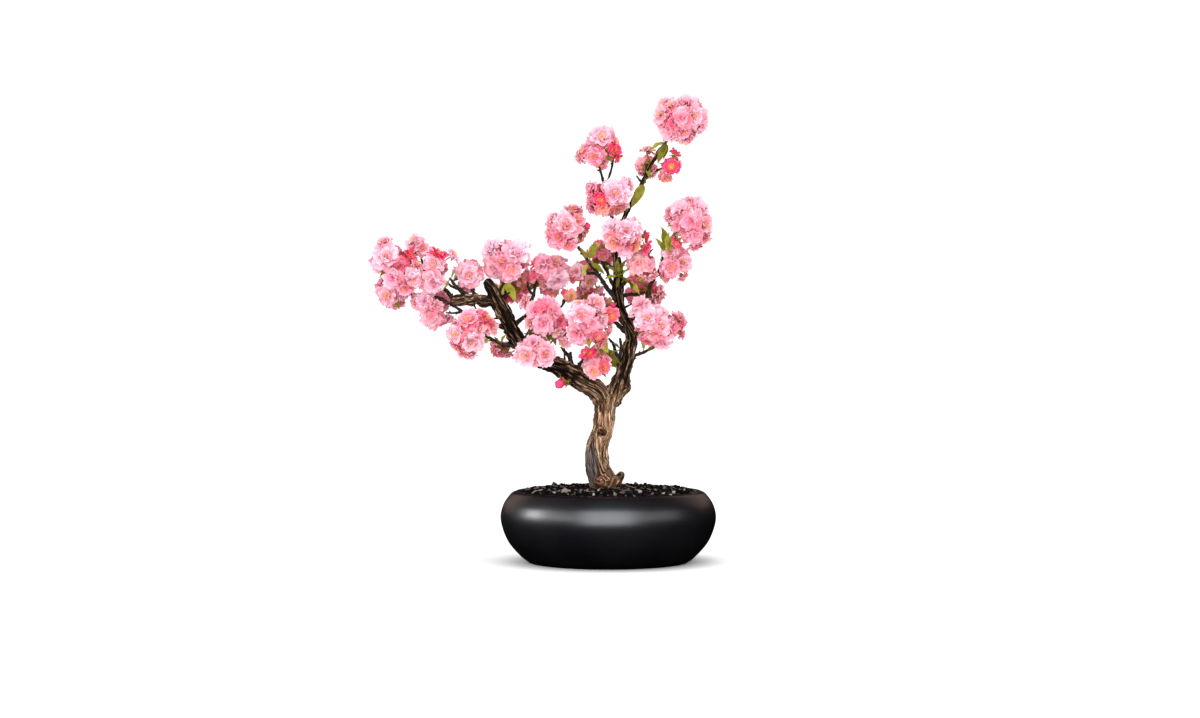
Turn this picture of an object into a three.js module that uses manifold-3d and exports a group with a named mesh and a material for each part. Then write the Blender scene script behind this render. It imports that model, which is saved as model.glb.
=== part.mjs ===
// A flowering Japanese cherry bonsai, trained in a round bowl of dark glazed ceramic.
// Millimetres, +Z up, +X to the viewer's right, +Y away from the viewer.
// The origin is the middle of the flat foot that the bowl stands on.

import * as THREE from 'three';
import { mergeVertices } from 'three/addons/utils/BufferGeometryUtils.js';
import Module from 'manifold-3d';

const wasm = await Module();
wasm.setup();
const { Manifold } = wasm;

// Clearance between neighbouring pieces, and how far a piece is pushed out to cut room for itself.
const GAP = 0.35;
const ROOM = 0.5;

// Bowl: outside from foot to rim as [radius, height], the wall behind it, and the inner edge of the
// lip as [in from the rim, below it] in wall thicknesses.
const POT_OUTLINE = [[101, 0], [112, 8], [128.6, 27.6], [137.5, 53.2], [134.7, 72.4], [125, 87], [118, 90.7]];
const POT_WALL = 5.5;
const POT_LIP = [0.75, 0.3];
const POT_FLOOR = 9;
const POT_FLOOR_CORNER = 6;
const POT_SIDES = 30;
const POT_SPANS = 10;
const POT_INNER_SPANS = 5;

// Soil: level at the rim, mound at the trunk, rings that crowd towards the wall, and the coarse
// gravel on it, which starts and ends at these shares of the surface's area.
const SOIL_LEVEL = 88.5;
const SOIL_MOUND = 3;
const SOIL_RINGS = 5;
const SOIL_CROWDING = 1.2;
const SOIL_RELIEF = 2;
const CHIPS = 8;
const CHIP_SIZE = [4, 6.5];
const CHIP_SHAPE = [1, 0.75, 0.6];
const CHIP_TILT = 0.6;
const CHIPS_REACH = 108;
const CHIPS_SPAN = [0.06, 0.95];

// Flowers: half the width across the open petals, and the knot where the stalks of a bunch meet.
const BLOOM_RADIUS = 18.5;
const PETALS = 5;
const CALYX_RADIUS = 2;
const BUD_RADIUS = 7;
const BUD_STRETCH = 1.2;
const KNOT_RADIUS = 6;
const KNOT_CLEARANCE = 0.07;
const KNOT_GRASP = 1.6;
const STALK_RADIUS = 1.2;

// Places on a flower as [distance out, height], in shares of its radius: the raised heart, the dip
// at the foot of the gap between two petals, the tips of the petals, the dent in front of the gap,
// and the top of the calyx. A petal's two tips lie this share of its sector to either side of it.
const HEART = [0, 0.34];
const PETAL_GAP = [0.6, -0.06];
const PETAL_TIP = [1, 0.2];
const PETAL_DENT = [0.36, 0];
const CALYX_DEPTH = 0.4;
const TIP_SPREAD = 0.24;

// Flowers as near as this many times their two radii press on each other.
const NEIGHBOUR_REACH = 1.3;

// Play of every flower's size, and of every corner's distance out and height.
const SIZE_PLAY = 0.06;
const OUT_PLAY = 0.08;
const HEIGHT_PLAY = 0.06;

// Leaves: blade length, width and thickness at the rib, its spans from foot to tip, how far it
// arches and folds as shares of its size, how long and short its teeth are, where its belly lies,
// and the stalk.
const LEAF_LENGTH = 23;
const LEAF_WIDTH = 9.5;
const LEAF_RIB = 1.4;
const LEAF_SPANS = 6;
const LEAF_ARCH = 0.2;
const LEAF_FOLD = 0.3;
const LEAF_TEETH = [1.1, 0.84];
const LEAF_BELLY = 0.8;
const LEAF_ROLL = 0.5;
const LEAF_STALK = 7;
const LEAF_STALK_RADIUS = 0.8;
const LEAF_KNOB = 2.6;

// Wood, as routes of [x, y, z, radius]. The wood that carries the weight comes first.
const WOOD = {
  trunk: [
    [-7, 0, 72, 10.5], [-8, 0, 83, 12], [-9, -1, 97, 13.5], [-11, -2, 111, 14.5], [-15, -3, 130, 14],
    [-13, -3, 149, 14], [-8, -1, 168, 12.5], [-5, 0, 188, 12.5], [-3, 1, 203, 14], [1, 2, 216, 11],
  ],
  left_branch: [
    [-5, 0, 202, 12], [-13, -2, 217, 13], [-26, -5, 227, 12.5], [-39, -8, 235, 12], [-54, -11, 245, 11],
    [-69, -14, 252, 10], [-86, -17, 258, 9.5], [-102, -19, 268, 9.5], [-114, -19, 281, 10],
    [-124, -18, 299, 9.5], [-133, -17, 318, 8.5], [-142, -17, 336, 8], [-149, -19, 350, 7.5],
    [-154, -21, 359, 6],
  ],
  right_branch: [
    [3, 1, 202, 11], [9, 3, 217, 11], [15, 5, 230, 10], [20, 6, 244, 9], [25, 7, 259, 8.5],
    [28, 7, 275, 8], [30, 7, 288, 7.5], [27, 6, 300, 7], [20, 5, 313, 6.5], [15, 4, 327, 6],
    [13, 4, 343, 6], [13, 5, 359, 5.5], [12, 6, 376, 5.5], [11, 8, 393, 5], [11, 9, 408, 4.5],
    [16, 9, 428, 4], [24, 8, 448, 3.5], [33, 6, 466, 3], [41, 4, 481, 2.5], [50, 2, 500, 2.5],
    [60, 0, 517, 2], [69, 0, 531, 2], [82, 0, 547, 2], [89, 0, 558, 1.5],
  ],
  side_branch: [
    [-142, -16, 329, 6.5], [-153, -16, 334, 5.5], [-166, -16, 337, 5], [-181, -17, 338, 4.5],
    [-199, -19, 335, 2.5],
  ],
  root_loop: [[-10, -5, 91, 9], [1, -10, 93, 8], [9, -12, 99, 6.5], [14, -12, 106, 5], [18, -12, 113, 4]],
  root_heel: [[-12, 3, 98, 10], [-3, 7, 90, 9], [8, 9, 84, 7]],
  cut_stub: [[18, 4, 219, 7], [24, 2, 223, 5.5], [27, 2, 226, 4]],
};
const WOOD_SIDES = {
  trunk: 10, left_branch: 8, right_branch: 7, side_branch: 5, root_loop: 6, root_heel: 6, cut_stub: 5,
};
const WOOD_STEPS = {
  trunk: 11, left_branch: 16, right_branch: 22, side_branch: 3, root_loop: 3, root_heel: 1, cut_stub: 1,
};
// Height of the ridges of the bark as a share of the radius, the share of that which the second,
// crossing set has, how far they wind from end to end, and the doming of an end.
const RIDGE = 0.07;
const RIDGE_CROSSING = 0.6;
const RIDGE_TWIST = 7;
const END_DOME = 0.35;

// Twigs, in the same form. Each starts inside the wood that bears it.
const TWIG_SIDES = 3;
const TWIGS = {
  below_left: [[-114, -19, 275, 3], [-137, -26, 278, 2], [-153, -34, 288, 2], [-168, -41, 291, 1.5]],
  far_left_foot: [
    [-131, -17, 299, 3], [-158, -21, 309, 2.5], [-184, -24, 319, 2], [-213, -14, 336, 2],
    [-236, 0, 340, 1.5], [-257, 3, 343, 1.5], [-273, 0, 345, 1.5],
  ],
  hanging_left: [[-213, -14, 336, 2], [-218, -4, 331, 1.5], [-223, 5, 326, 1.5]],
  foot_spur: [[-185, -24, 319, 1.6], [-197, -25, 318, 1.2], [-206, -25, 318, 1]],
  far_left_crown: [
    [-197, -19, 335, 3], [-205, -13, 345, 2.5], [-218, -3, 355, 2], [-236, 4, 364, 2],
    [-257, 4, 376, 1.5], [-273, -5, 381, 1.5],
  ],
  left_spur: [[-218, -3, 355, 2], [-222, -9, 364, 1.5], [-224, -13, 369, 1.5]],
  far_left_middle: [[-236, 4, 364, 1.8], [-248, -9, 366, 1.5], [-256, -19, 368, 1.5]],
  loose_left: [[-236, 4, 364, 1.7], [-238, 6, 381, 1.5], [-241, 5, 394, 1.3]],
  side_fork: [[-176, -17, 338, 3], [-191, -20, 349, 2.3], [-201, -22, 362, 1.4]],
  side_fork_tip: [[-190, -20, 348, 2], [-200, -16, 352, 1.5], [-207, -12, 359, 1.1]],
  over_spur: [[-168, -16, 338, 2.8], [-175, -7, 351, 2], [-180, 2, 363, 1.5]],
  under_bend: [[-124, -14, 281, 2.5], [-130, 2, 277, 2], [-136, 14, 275, 1.5]],
  front_bend: [[-83, -18, 258, 2.5], [-86, -32, 263, 2], [-90, -42, 268, 1.5]],
  left_crown: [[-143, -17, 333, 3.5], [-139, -12, 345, 3], [-133, -4, 359, 2], [-134, 6, 380, 1.5]],
  mid_crown: [
    [-123, -17, 297, 3], [-112, -13, 309, 2.5], [-103, -6, 317, 2.5], [-98, 2, 335, 2.5],
    [-95, 8, 349, 2], [-92, 13, 362, 2], [-79, 19, 367, 1.5],
  ],
  crown_fork: [[-98, 4, 342, 2], [-102, 2, 350, 1.5], [-103, 0, 358, 1.1]],
  mid_left: [[-74, -15, 257, 3], [-77, -18, 276, 2.5], [-75, -20, 290, 2], [-79, -23, 309, 1.5]],
  mid_back: [[-77, -21, 296, 1.6], [-65, -8, 319, 1.4], [-54, 5, 336, 1.3]],
  mid_right: [
    [-44, -9, 245, 3], [-50, -13, 262, 2.5], [-58, -17, 275, 2], [-54, -22, 290, 2], [-34, -30, 304, 1.5],
  ],
  free_knob: [[-48, -12, 257, 2.2], [-48, -14, 262, 2], [-48, -15, 268, 1.6]],
  crotch: [[-35, -8, 239, 3], [-37, -14, 250, 2.5], [-31, -22, 257, 2], [-21, -29, 255, 1.5]],
  inner_right: [[15, 6, 244, 3], [11, 1, 262, 2.5], [7, -3, 277, 2], [1, -14, 285, 1.4]],
  inner_spur: [[12, 3, 255, 2.5], [16, 0, 271, 2], [15, -1, 286, 1.5]],
  right_bud: [[24, 7, 293, 3.5], [14, 0, 302, 3], [7, -9, 309, 2], [5, -17, 321, 1.5]],
  right_low: [[30, 7, 289, 4], [41, 0, 295, 3], [51, -8, 300, 2.5], [60, -13, 304, 1.5]],
  low_right: [[28, 6, 260, 2.5], [36, 3, 264, 2], [46, 1, 268, 1.8], [54, -2, 274, 1.5], [60, -4, 281, 1.2]],
  upper_left: [
    [11, 4, 334, 4], [2, 2, 346, 3], [-8, 0, 360, 2.5], [-21, -2, 378, 2], [-32, -3, 394, 2],
    [-43, -4, 408, 1.7], [-53, -4, 424, 1.5],
  ],
  crown_back: [[10, 5, 347, 3], [2, 13, 363, 2], [-4, 25, 379, 2], [-9, 35, 392, 1.5]],
  back_spur: [[-13, -1, 367, 2.2], [-22, 12, 370, 1.6], [-29, 25, 368, 1.4]],
  crown_middle: [[11, 8, 399, 3.5], [15, -6, 406, 2.5], [19, -22, 413, 1.5]],
  crown_low: [[14, 5, 352, 3.5], [25, 4, 361, 2.5], [36, 3, 370, 2], [43, 2, 377, 1.5]],
  right_side: [
    [28, 7, 307, 4], [41, 10, 326, 3], [49, 10, 340, 2.5], [55, 10, 356, 2.5], [64, 11, 369, 2],
    [83, 14, 381, 1.5],
  ],
  right_ball: [[63, 11, 367, 2.2], [68, 9, 381, 2], [74, 6, 394, 2], [83, 3, 411, 1.7], [103, 0, 434, 1.5]],
  upper_middle: [
    [13, 9, 412, 3], [7, 4, 432, 2.5], [2, -2, 450, 2], [-2, -7, 467, 1.7], [-8, -2, 491, 1.5],
    [-11, 1, 505, 1.5], [-11, 4, 528, 1.3],
  ],
  top_second: [[-2, -7, 472, 1.6], [1, -1, 491, 1.4], [5, 4, 508, 1.3], [7, 6, 521, 1.2]],
  tip_back: [[48, 2, 497, 2], [50, 7, 509, 1.5]],
  tip_side: [[46, 3, 491, 1.8], [60, 8, 501, 1.5], [75, 14, 506, 1.2]],
  low_bud: [[-45, -9, 235, 2.3], [-47, -17, 229, 1.5], [-55, -23, 230, 1.3]],
  back_heart: [[14, 5, 321, 3.5], [0, 24, 326, 2.5], [-18, 43, 334, 1.5]],
  back_left: [[-139, -17, 332, 3.5], [-131, 12, 343, 2.5], [-126, 40, 356, 1.5]],
  back_right: [[14, 4, 339, 3], [31, 26, 343, 2], [46, 43, 346, 1.5]],
};

// Bunches of flowers. Each flower is [azimuth, elevation, distance from the knot] in degrees and
// millimetres, azimuth 0 facing the viewer and 90 facing +X. The distance is the bunch's own where
// it isn't given. A bunch also bears this many flowers on its back, and buds in the same form.
const BUNCHES = {
  far_left_crown: { knot: [-277, -8, 382], reach: 19, back: 1, blooms: [[-5, 25], [-90, 80, 27], [-90, 10]] },
  far_left_middle: {
    knot: [-258, -22, 368], reach: 18, back: 0, blooms: [[-10, 15], [90, 60, 19], [-65, -45], [90, -75, 20]],
  },
  left_spur: {
    knot: [-224, -14, 371], reach: 19, back: 1, blooms: [[15, -45], [10, 35], [90, 70, 29], [-90, -40]],
  },
  loose_left: { knot: [-241, 4, 398], reach: 15, back: 0, blooms: [[-50, 70], [35, 10]] },
  far_left_foot: { knot: [-277, 0, 345], reach: 18, back: 1, blooms: [[-90, 30], [-25, -10], [35, -50]] },
  hanging_left: { knot: [-226, 8, 325], reach: 18, back: 1, blooms: [[-20, 40], [35, -50], [-30, -15]] },
  below_left: {
    knot: [-173, -42, 291], reach: 22, back: 2,
    blooms: [[-60, 0], [-10, 65], [5, -25], [90, 45, 29], [90, 15, 26], [-90, -80, 28]],
  },
  under_bend: { knot: [-137, 16, 275], reach: 12, back: 1, blooms: [[-20, -50]] },
  front_bend: { knot: [-91, -44, 269], reach: 18, back: 1, blooms: [[-60, -25], [45, -10], [-10, 40]] },
  over_spur: { knot: [-180, 4, 367], reach: 17, back: 1, blooms: [[-45, 25], [15, -15]] },
  left_crown: {
    knot: [-134, 8, 385], reach: 24, back: 3, blooms: [[-65, 40], [-35, -25], [55, 30], [40, -35]],
  },
  mid_crown: {
    knot: [-76, 20, 368], reach: 22, back: 2,
    blooms: [[-20, 45], [90, 45], [30, -30], [-30, -60], [-90, -20]],
  },
  mid_left: {
    knot: [-80, -24, 314], reach: 24, back: 2,
    blooms: [[-30, 20], [15, 45], [-5, -25], [-55, -20], [60, 10], [55, -45]],
  },
  mid_right: {
    knot: [-28, -32, 307], reach: 25, back: 2,
    blooms: [[-20, 25], [-45, -45], [20, -15], [90, -45], [90, 60, 27], [90, -55, 38]],
  },
  upper_left: {
    knot: [-54, -4, 425], reach: 23, back: 3,
    blooms: [[0, 5], [-25, -40], [90, 85, 24], [-90, -20, 25], [70, 20]],
  },
  back_spur: { knot: [-30, 26, 367], reach: 16, back: 1, blooms: [[-65, 30], [65, -15], [90, -40, 26]] },
  top_left: {
    knot: [-11, 4, 532], reach: 20, back: 2, blooms: [[20, 50], [-25, -35], [-90, -15, 29], [85, -15]],
  },
  upper_middle: {
    knot: [0, -8, 466], reach: 20, back: 2,
    blooms: [[35, 20], [-90, 25, 22], [-30, -5], [-30, -50], [90, -45]],
  },
  crown_middle: {
    knot: [19, -24, 414], reach: 22, back: 1,
    blooms: [[-90, 45], [15, 25], [-25, -30], [60, -35], [90, -20, 31]],
  },
  crown_low: {
    knot: [44, 2, 378], reach: 18, back: 1, blooms: [[-35, 0], [90, 35, 19], [50, -20], [-90, -80, 20]],
  },
  crown_back: { knot: [-9, 36, 393], reach: 16, back: 1, blooms: [[-5, 30], [20, -30]] },
  right_ball: {
    knot: [105, 0, 436], reach: 24, back: 3,
    blooms: [[-90, 70], [80, 55], [-10, -5], [65, -20], [90, -70, 26], [-90, 20, 30], [-90, -55, 32]],
  },
  right_side: { knot: [85, 14, 382], reach: 17, back: 1, blooms: [[-25, 55], [-20, -25], [65, -30]] },
  right_low: {
    knot: [61, -14, 304], reach: 25, back: 3,
    blooms: [[-90, 55, 34], [-35, 15], [10, -5], [-20, -60], [45, -45], [5, 40], [90, -5, 29]],
  },
  tip_ball: {
    knot: [93, 0, 568], reach: 24, back: 3,
    blooms: [
      [-90, 35, 31], [-90, 0, 28], [40, 65], [0, -5], [50, 5], [-65, -45], [90, -60, 27], [90, -20, 28],
    ],
  },
  tip_back: { knot: [50, 8, 511], reach: 15, back: 1, blooms: [[-20, -15], [90, 75, 21], [90, -75, 19]] },
  tip_side: {
    knot: [77, 14, 506], reach: 14, back: 0, blooms: [[30, 40], [90, 55, 21]], buds: [[-90, -75, 15]],
  },
  mid_back: { knot: [-53, 6, 338], reach: 10, back: 0, blooms: [[30, -5]], buds: [[-30, 40, 14]] },
  crotch: {
    knot: [-19, -30, 254], reach: 15, back: 1, blooms: [[-15, -5], [5, -50]],
    buds: [[-90, 45, 16], [90, -25, 16]],
  },
  right_bud: { knot: [5, -18, 322], reach: 8, back: 0, blooms: [[-15, -55]], buds: [[0, 90, 13]] },
  low_bud: { knot: [-55, -24, 231], reach: 8, back: 0, blooms: [], buds: [[-55, -10, 8]] },
  back_heart: { knot: [-20, 45, 334], reach: 20, back: 3, blooms: [[-100, 30]] },
  back_left: { knot: [-125, 43, 357], reach: 20, back: 3, blooms: [[-100, -30]] },
  back_right: { knot: [48, 46, 347], reach: 20, back: 3, blooms: [[95, -30]] },
};
// Where flowers on the back of a bunch go, in the order that they are taken.
const BACK = [[170, 20], [-130, -35], [125, -30]];

// Leaves, in tufts on the twigs: a point on the wood and each leaf as [azimuth, elevation, size].
const TUFTS = {
  upper_left_leaves: { at: [-25, -3, 384], leaves: [[-20, 35, 1], [60, 10, 1.1], [-100, 40, 0.8]] },
  inner_star: { at: [12, 2, 366], leaves: [[-70, 40, 0.8], [10, 20, 1], [-10, -40, 0.7], [140, 30, 0.9]] },
  crown_leaves: { at: [26, 4, 361], leaves: [[20, -30, 1], [80, -40, 0.9]] },
  tip_leaves: { at: [41, 4, 481], leaves: [[80, -10, 1.1], [-60, 20, 0.9], [170, 20, 1]] },
  top_leaves: { at: [69, 0, 531], leaves: [[60, -50, 1], [110, -10, 0.8]] },
  crook_leaves: { at: [-133, -4, 360], leaves: [[-60, -20, 1], [40, -25, 1.3]] },
  bend_leaves: { at: [-77, -18, 276], leaves: [[-70, 5, 1.1], [10, -10, 1], [-150, 10, 1]] },
  below_leaves: { at: [-137, -26, 278], leaves: [[-20, 40, 0.7], [-70, -15, 0.8]] },
  inner_leaves: { at: [15, 6, 246], leaves: [[-40, 40, 1.1], [-80, 20, 0.9]] },
  spur_leaves: { at: [16, 0, 272], leaves: [[40, 20, 0.8], [-50, 10, 0.7]] },
  low_right_leaves: { at: [46, 1, 268], leaves: [[0, 10, 0.7], [100, 20, 1]] },
  side_leaves: { at: [-201, -22, 361], leaves: [[-10, -10, 0.7]] },
  ball_leaves: { at: [74, 6, 394], leaves: [[-60, 40, 1], [10, 10, 0.9], [160, 20, 1]] },
  back_leaves: { at: [-4, 25, 379], leaves: [[-150, 10, 1], [150, -20, 1.1]] },
};

// Seeds set aside for each repeat, so that no two draw the same numbers.
const SEEDS_A_BUNCH = 11;
const FIRST_BUD_SEED = 7;
const SEEDS_A_BLOOM = 37;
const SEEDS_A_TUFT = 7;

// Turn from one repeat to the next that never lines two of them up.
const GOLDEN_TURN = Math.PI * (3 - Math.sqrt(5));

// Finish of each kind of piece.
const FINISH = {
  glaze: new THREE.MeshStandardMaterial({ color: 0x151314, roughness: 0.28, metalness: 0 }),
  gravel: new THREE.MeshStandardMaterial({ color: 0x2d2723, roughness: 0.95, metalness: 0 }),
  bark: new THREE.MeshStandardMaterial({ color: 0x4b3527, roughness: 0.9, metalness: 0 }),
  leaf: new THREE.MeshStandardMaterial({ color: 0x7f8a3c, roughness: 0.6, metalness: 0, flatShading: true }),
  pale: new THREE.MeshStandardMaterial({ color: 0xf3b3c2, roughness: 0.75, metalness: 0, flatShading: true }),
  pink: new THREE.MeshStandardMaterial({ color: 0xec8ba3, roughness: 0.75, metalness: 0, flatShading: true }),
  deep: new THREE.MeshStandardMaterial({ color: 0xd94f6e, roughness: 0.75, metalness: 0, flatShading: true }),
};
const BUNCH_FINISHES = ['pale', 'pink'];

// The same number from 0 to 1 for the same seed, every time.
function chance(seed) {
  const wave = Math.sin(seed * 12.9898 + 4.137) * 43758.5453;
  return wave - Math.floor(wave);
}

function between(low, high, seed) {
  return low + (high - low) * chance(seed);
}

function direction(azimuth, elevation) {
  const turn = THREE.MathUtils.degToRad(azimuth);
  const rise = THREE.MathUtils.degToRad(elevation);
  return new THREE.Vector3(
    Math.sin(turn) * Math.cos(rise), -Math.cos(turn) * Math.cos(rise), Math.sin(rise),
  );
}

// Closed surface with shared corners, ready to be joined or cut.
function closed(geometry) {
  geometry.deleteAttribute('normal');
  geometry.deleteAttribute('uv');
  return mergeVertices(geometry, 1e-4);
}

function solid(geometry) {
  const vertProperties = new Float32Array(geometry.attributes.position.array);
  const triVerts = new Uint32Array(geometry.index.array);
  return new Manifold(new wasm.Mesh({ numProp: 3, vertProperties, triVerts }));
}

function surface(body) {
  const { vertProperties, triVerts } = body.getMesh();
  const geometry = new THREE.BufferGeometry();
  geometry.setAttribute('position', new THREE.BufferAttribute(vertProperties, 3));
  geometry.setIndex(new THREE.BufferAttribute(triVerts, 1));
  geometry.computeVertexNormals();
  return geometry;
}

// The same closed surface, pushed out along the normals of its corners.
function pushedOut(geometry, distance) {
  const wider = geometry.clone();
  wider.computeVertexNormals();
  const { position, normal } = wider.attributes;
  for (let i = 0; i < position.count; i++) {
    position.setXYZ(
      i,
      position.getX(i) + normal.getX(i) * distance,
      position.getY(i) + normal.getY(i) * distance,
      position.getZ(i) + normal.getZ(i) * distance,
    );
  }
  return wider;
}

function faces(corners, triangles) {
  const geometry = new THREE.BufferGeometry();
  const numbers = corners.flatMap((corner) => [...corner]);
  geometry.setAttribute('position', new THREE.Float32BufferAttribute(numbers, 3));
  geometry.setIndex(triangles.flat());
  return geometry;
}

// Largest body of a cut piece, without its scraps.
function largest(body) {
  const pieces = body.decompose();
  return pieces.reduce((best, piece) => (piece.volume() > best.volume() ? piece : best));
}

// Limb along a route of [x, y, z, radius], with domed ends. Wider by grow all over. Ridges are as
// high as their share of the radius, and wind slowly round the limb.
function limb(route, sides, steps, grow = 0, ridge = 0) {
  const path = new THREE.CatmullRomCurve3(
    route.map(([x, y, z]) => new THREE.Vector3(x, y, z)), false, 'catmullrom', 0.5,
  );
  const girth = new THREE.CatmullRomCurve3(
    route.map(([, , , radius]) => new THREE.Vector3(radius, 0, 0)), false, 'catmullrom', 0.5,
  );
  const { tangents, normals, binormals } = path.computeFrenetFrames(steps);
  const geometry = new THREE.CylinderGeometry(1, 1, 1, sides, steps);
  const corners = geometry.attributes.position;
  for (let i = 0; i < corners.count; i++) {
    const step = Math.round((0.5 - corners.getY(i)) * steps);
    const along = path.getUtoTmapping(step / steps);
    const [across, up] = [corners.getX(i), corners.getZ(i)];
    const angle = Math.atan2(up, across);
    const wind = RIDGE_TWIST * along;
    const ridges = Math.sin(3 * angle + wind) + RIDGE_CROSSING * Math.sin(2 * angle - 2 * wind);
    const radius = girth.getPoint(along).x * (1 + ridge * ridges) + grow;
    const centre = path.getPoint(along);
    const end = Number(step === steps) - Number(step === 0);
    const tip = Math.hypot(across, up) < 0.5 ? radius * END_DOME : 0;
    centre.addScaledVector(tangents[step], end * (grow + tip));
    centre.addScaledVector(normals[step], across * radius);
    centre.addScaledVector(binormals[step], up * radius);
    corners.setXYZ(i, centre.x, centre.y, centre.z);
  }
  return closed(geometry);
}

// Bowl

function potOutline(inward, spans) {
  const curve = new THREE.SplineCurve(POT_OUTLINE.map(([r, z]) => new THREE.Vector2(r, z)));
  return curve.getPoints(spans).map((point, i) => {
    const tangent = curve.getTangent(i / spans);
    return new THREE.Vector2(point.x - tangent.y * inward, point.y + tangent.x * inward);
  });
}

function turned(profile, sides) {
  const geometry = new THREE.LatheGeometry(profile, sides);
  geometry.rotateX(Math.PI / 2);
  return closed(geometry);
}

function potInside(inward, floor) {
  const wall = potOutline(inward, POT_INNER_SPANS).filter((point) => point.y > floor + 2);
  return [new THREE.Vector2(0, floor), new THREE.Vector2(wall[0].x - POT_FLOOR_CORNER, floor), ...wall];
}

function pot() {
  const outside = potOutline(0, POT_SPANS);
  const inside = potInside(POT_WALL, POT_FLOOR);
  const rim = outside.at(-1);
  const lip = new THREE.Vector2(rim.x - POT_LIP[0] * POT_WALL, rim.y - POT_LIP[1] * POT_WALL);
  return solid(turned([new THREE.Vector2(0, 0), ...outside, lip, ...inside.reverse()], POT_SIDES));
}

// Soil

function soilHeight(out) {
  return SOIL_LEVEL + SOIL_MOUND * (1 - (out / POT_OUTLINE.at(-1)[0]) ** 2);
}

function soilBed() {
  const inside = potInside(POT_WALL + GAP, POT_FLOOR + GAP).filter((point) => point.y < SOIL_LEVEL - 1);
  const edge = inside.at(-1).x;
  const top = [];
  for (let ring = 1; ring <= SOIL_RINGS; ring++) {
    const out = edge * (1 - (ring / SOIL_RINGS) ** SOIL_CROWDING);
    top.push(new THREE.Vector2(out, soilHeight(out)));
  }
  return turned([...inside, ...top], POT_SIDES);
}

// Loose gravel seen from above: every corner of the top is raised or sunk by its own amount.
function roughened(bed) {
  const corners = bed.attributes.position;
  for (let i = 0; i < corners.count; i++) {
    if (corners.getZ(i) >= SOIL_LEVEL) {
      const seed = corners.getX(i) * 3.1 + corners.getY(i) * 1.7;
      corners.setZ(i, corners.getZ(i) + between(-SOIL_RELIEF, SOIL_RELIEF, seed));
    }
  }
  return bed;
}

function chip(index) {
  const size = between(...CHIP_SIZE, index + 0.1);
  const turn = index * GOLDEN_TURN;
  const out = CHIPS_REACH * Math.sqrt(between(...CHIPS_SPAN, index + 0.2));
  const geometry = new THREE.OctahedronGeometry(size);
  geometry.scale(...CHIP_SHAPE);
  geometry.rotateX(between(-CHIP_TILT, CHIP_TILT, index + 0.3));
  geometry.rotateZ(between(0, Math.PI, index + 0.4));
  geometry.translate(out * Math.cos(turn), out * Math.sin(turn), soilHeight(out) + 0.2 * size);
  return solid(closed(geometry));
}

function soil(trunkRoom) {
  const chips = Array.from({ length: CHIPS }, (_, index) => chip(index));
  return largest(Manifold.union([solid(roughened(soilBed())), ...chips]).subtract(trunkRoom));
}

// Tree

// Twig routes that lead to a bunch end just short of its knot.
function shortened(route) {
  const end = new THREE.Vector3(...route.at(-1));
  const before = new THREE.Vector3(...route.at(-2));
  const knot = Object.values(BUNCHES).map((bunch) => new THREE.Vector3(...bunch.knot))
    .find((centre) => centre.distanceTo(end) < KNOT_GRASP * KNOT_RADIUS);
  if (!knot) {
    return route;
  }
  const radius = route.at(-1)[3];
  const way = before.sub(knot).normalize();
  const stop = knot.addScaledVector(way, KNOT_RADIUS + ROOM + END_DOME * (radius + ROOM) + KNOT_CLEARANCE);
  return [...route.slice(0, -1), [...stop, radius]];
}

function tree(grow = 0) {
  const limbs = Object.entries(WOOD).map(
    ([name, route]) => solid(limb(route, WOOD_SIDES[name], WOOD_STEPS[name], grow, RIDGE)),
  );
  const twigs = Object.values(TWIGS).map(
    (route) => solid(limb(shortened(route), TWIG_SIDES, route.length - 1, grow)),
  );
  return Manifold.union([...limbs, ...twigs]);
}

function twigEndAt(knot) {
  const centre = new THREE.Vector3(...knot);
  const routes = [...Object.values(TWIGS), WOOD.right_branch];
  const ends = routes.map((route) => new THREE.Vector3(...shortened(route).at(-1)));
  return ends.reduce((best, end) => (end.distanceTo(centre) < best.distanceTo(centre) ? end : best));
}

// Flowers

// Where a flower of a bunch sits and how it stands. The distance is that of its heart from the knot.
function flower(knot, [azimuth, elevation, distance], size, seed) {
  const way = direction(azimuth, elevation);
  const centre = new THREE.Vector3(...knot).addScaledVector(way, distance);
  const turn = new THREE.Quaternion().setFromUnitVectors(new THREE.Vector3(0, 0, 1), way);
  turn.multiply(new THREE.Quaternion().setFromAxisAngle(new THREE.Vector3(0, 0, 1), seed * GOLDEN_TURN));
  const radius = size * between(1 - SIZE_PLAY, 1 + SIZE_PLAY, seed);
  return { centre, turn, distance, radius, seed };
}

function flowersOf({ knot, reach, back, blooms, buds = [] }, number) {
  const seed = number * SEEDS_A_BUNCH;
  const open = [...blooms, ...BACK.slice(0, back)].map(([azimuth, elevation, distance = reach], k) => flower(
    knot, [azimuth, elevation, distance], BLOOM_RADIUS, seed + k,
  ));
  const shut = buds.map((place, k) => flower(knot, place, BUD_RADIUS, seed + FIRST_BUD_SEED + k));
  return { open, shut };
}

// How much of an offset from a flower's heart stays on its own side of every neighbour.
function share(own, offset, neighbours) {
  return neighbours.reduce((least, other) => {
    const apart = other.centre.clone().sub(own.centre);
    const distance = apart.length();
    const limit = (distance * own.radius) / (own.radius + other.radius) - GAP / 2;
    const along = offset.dot(apart) / distance;
    return along > limit ? Math.min(least, limit / along) : least;
  }, 1);
}

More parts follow.
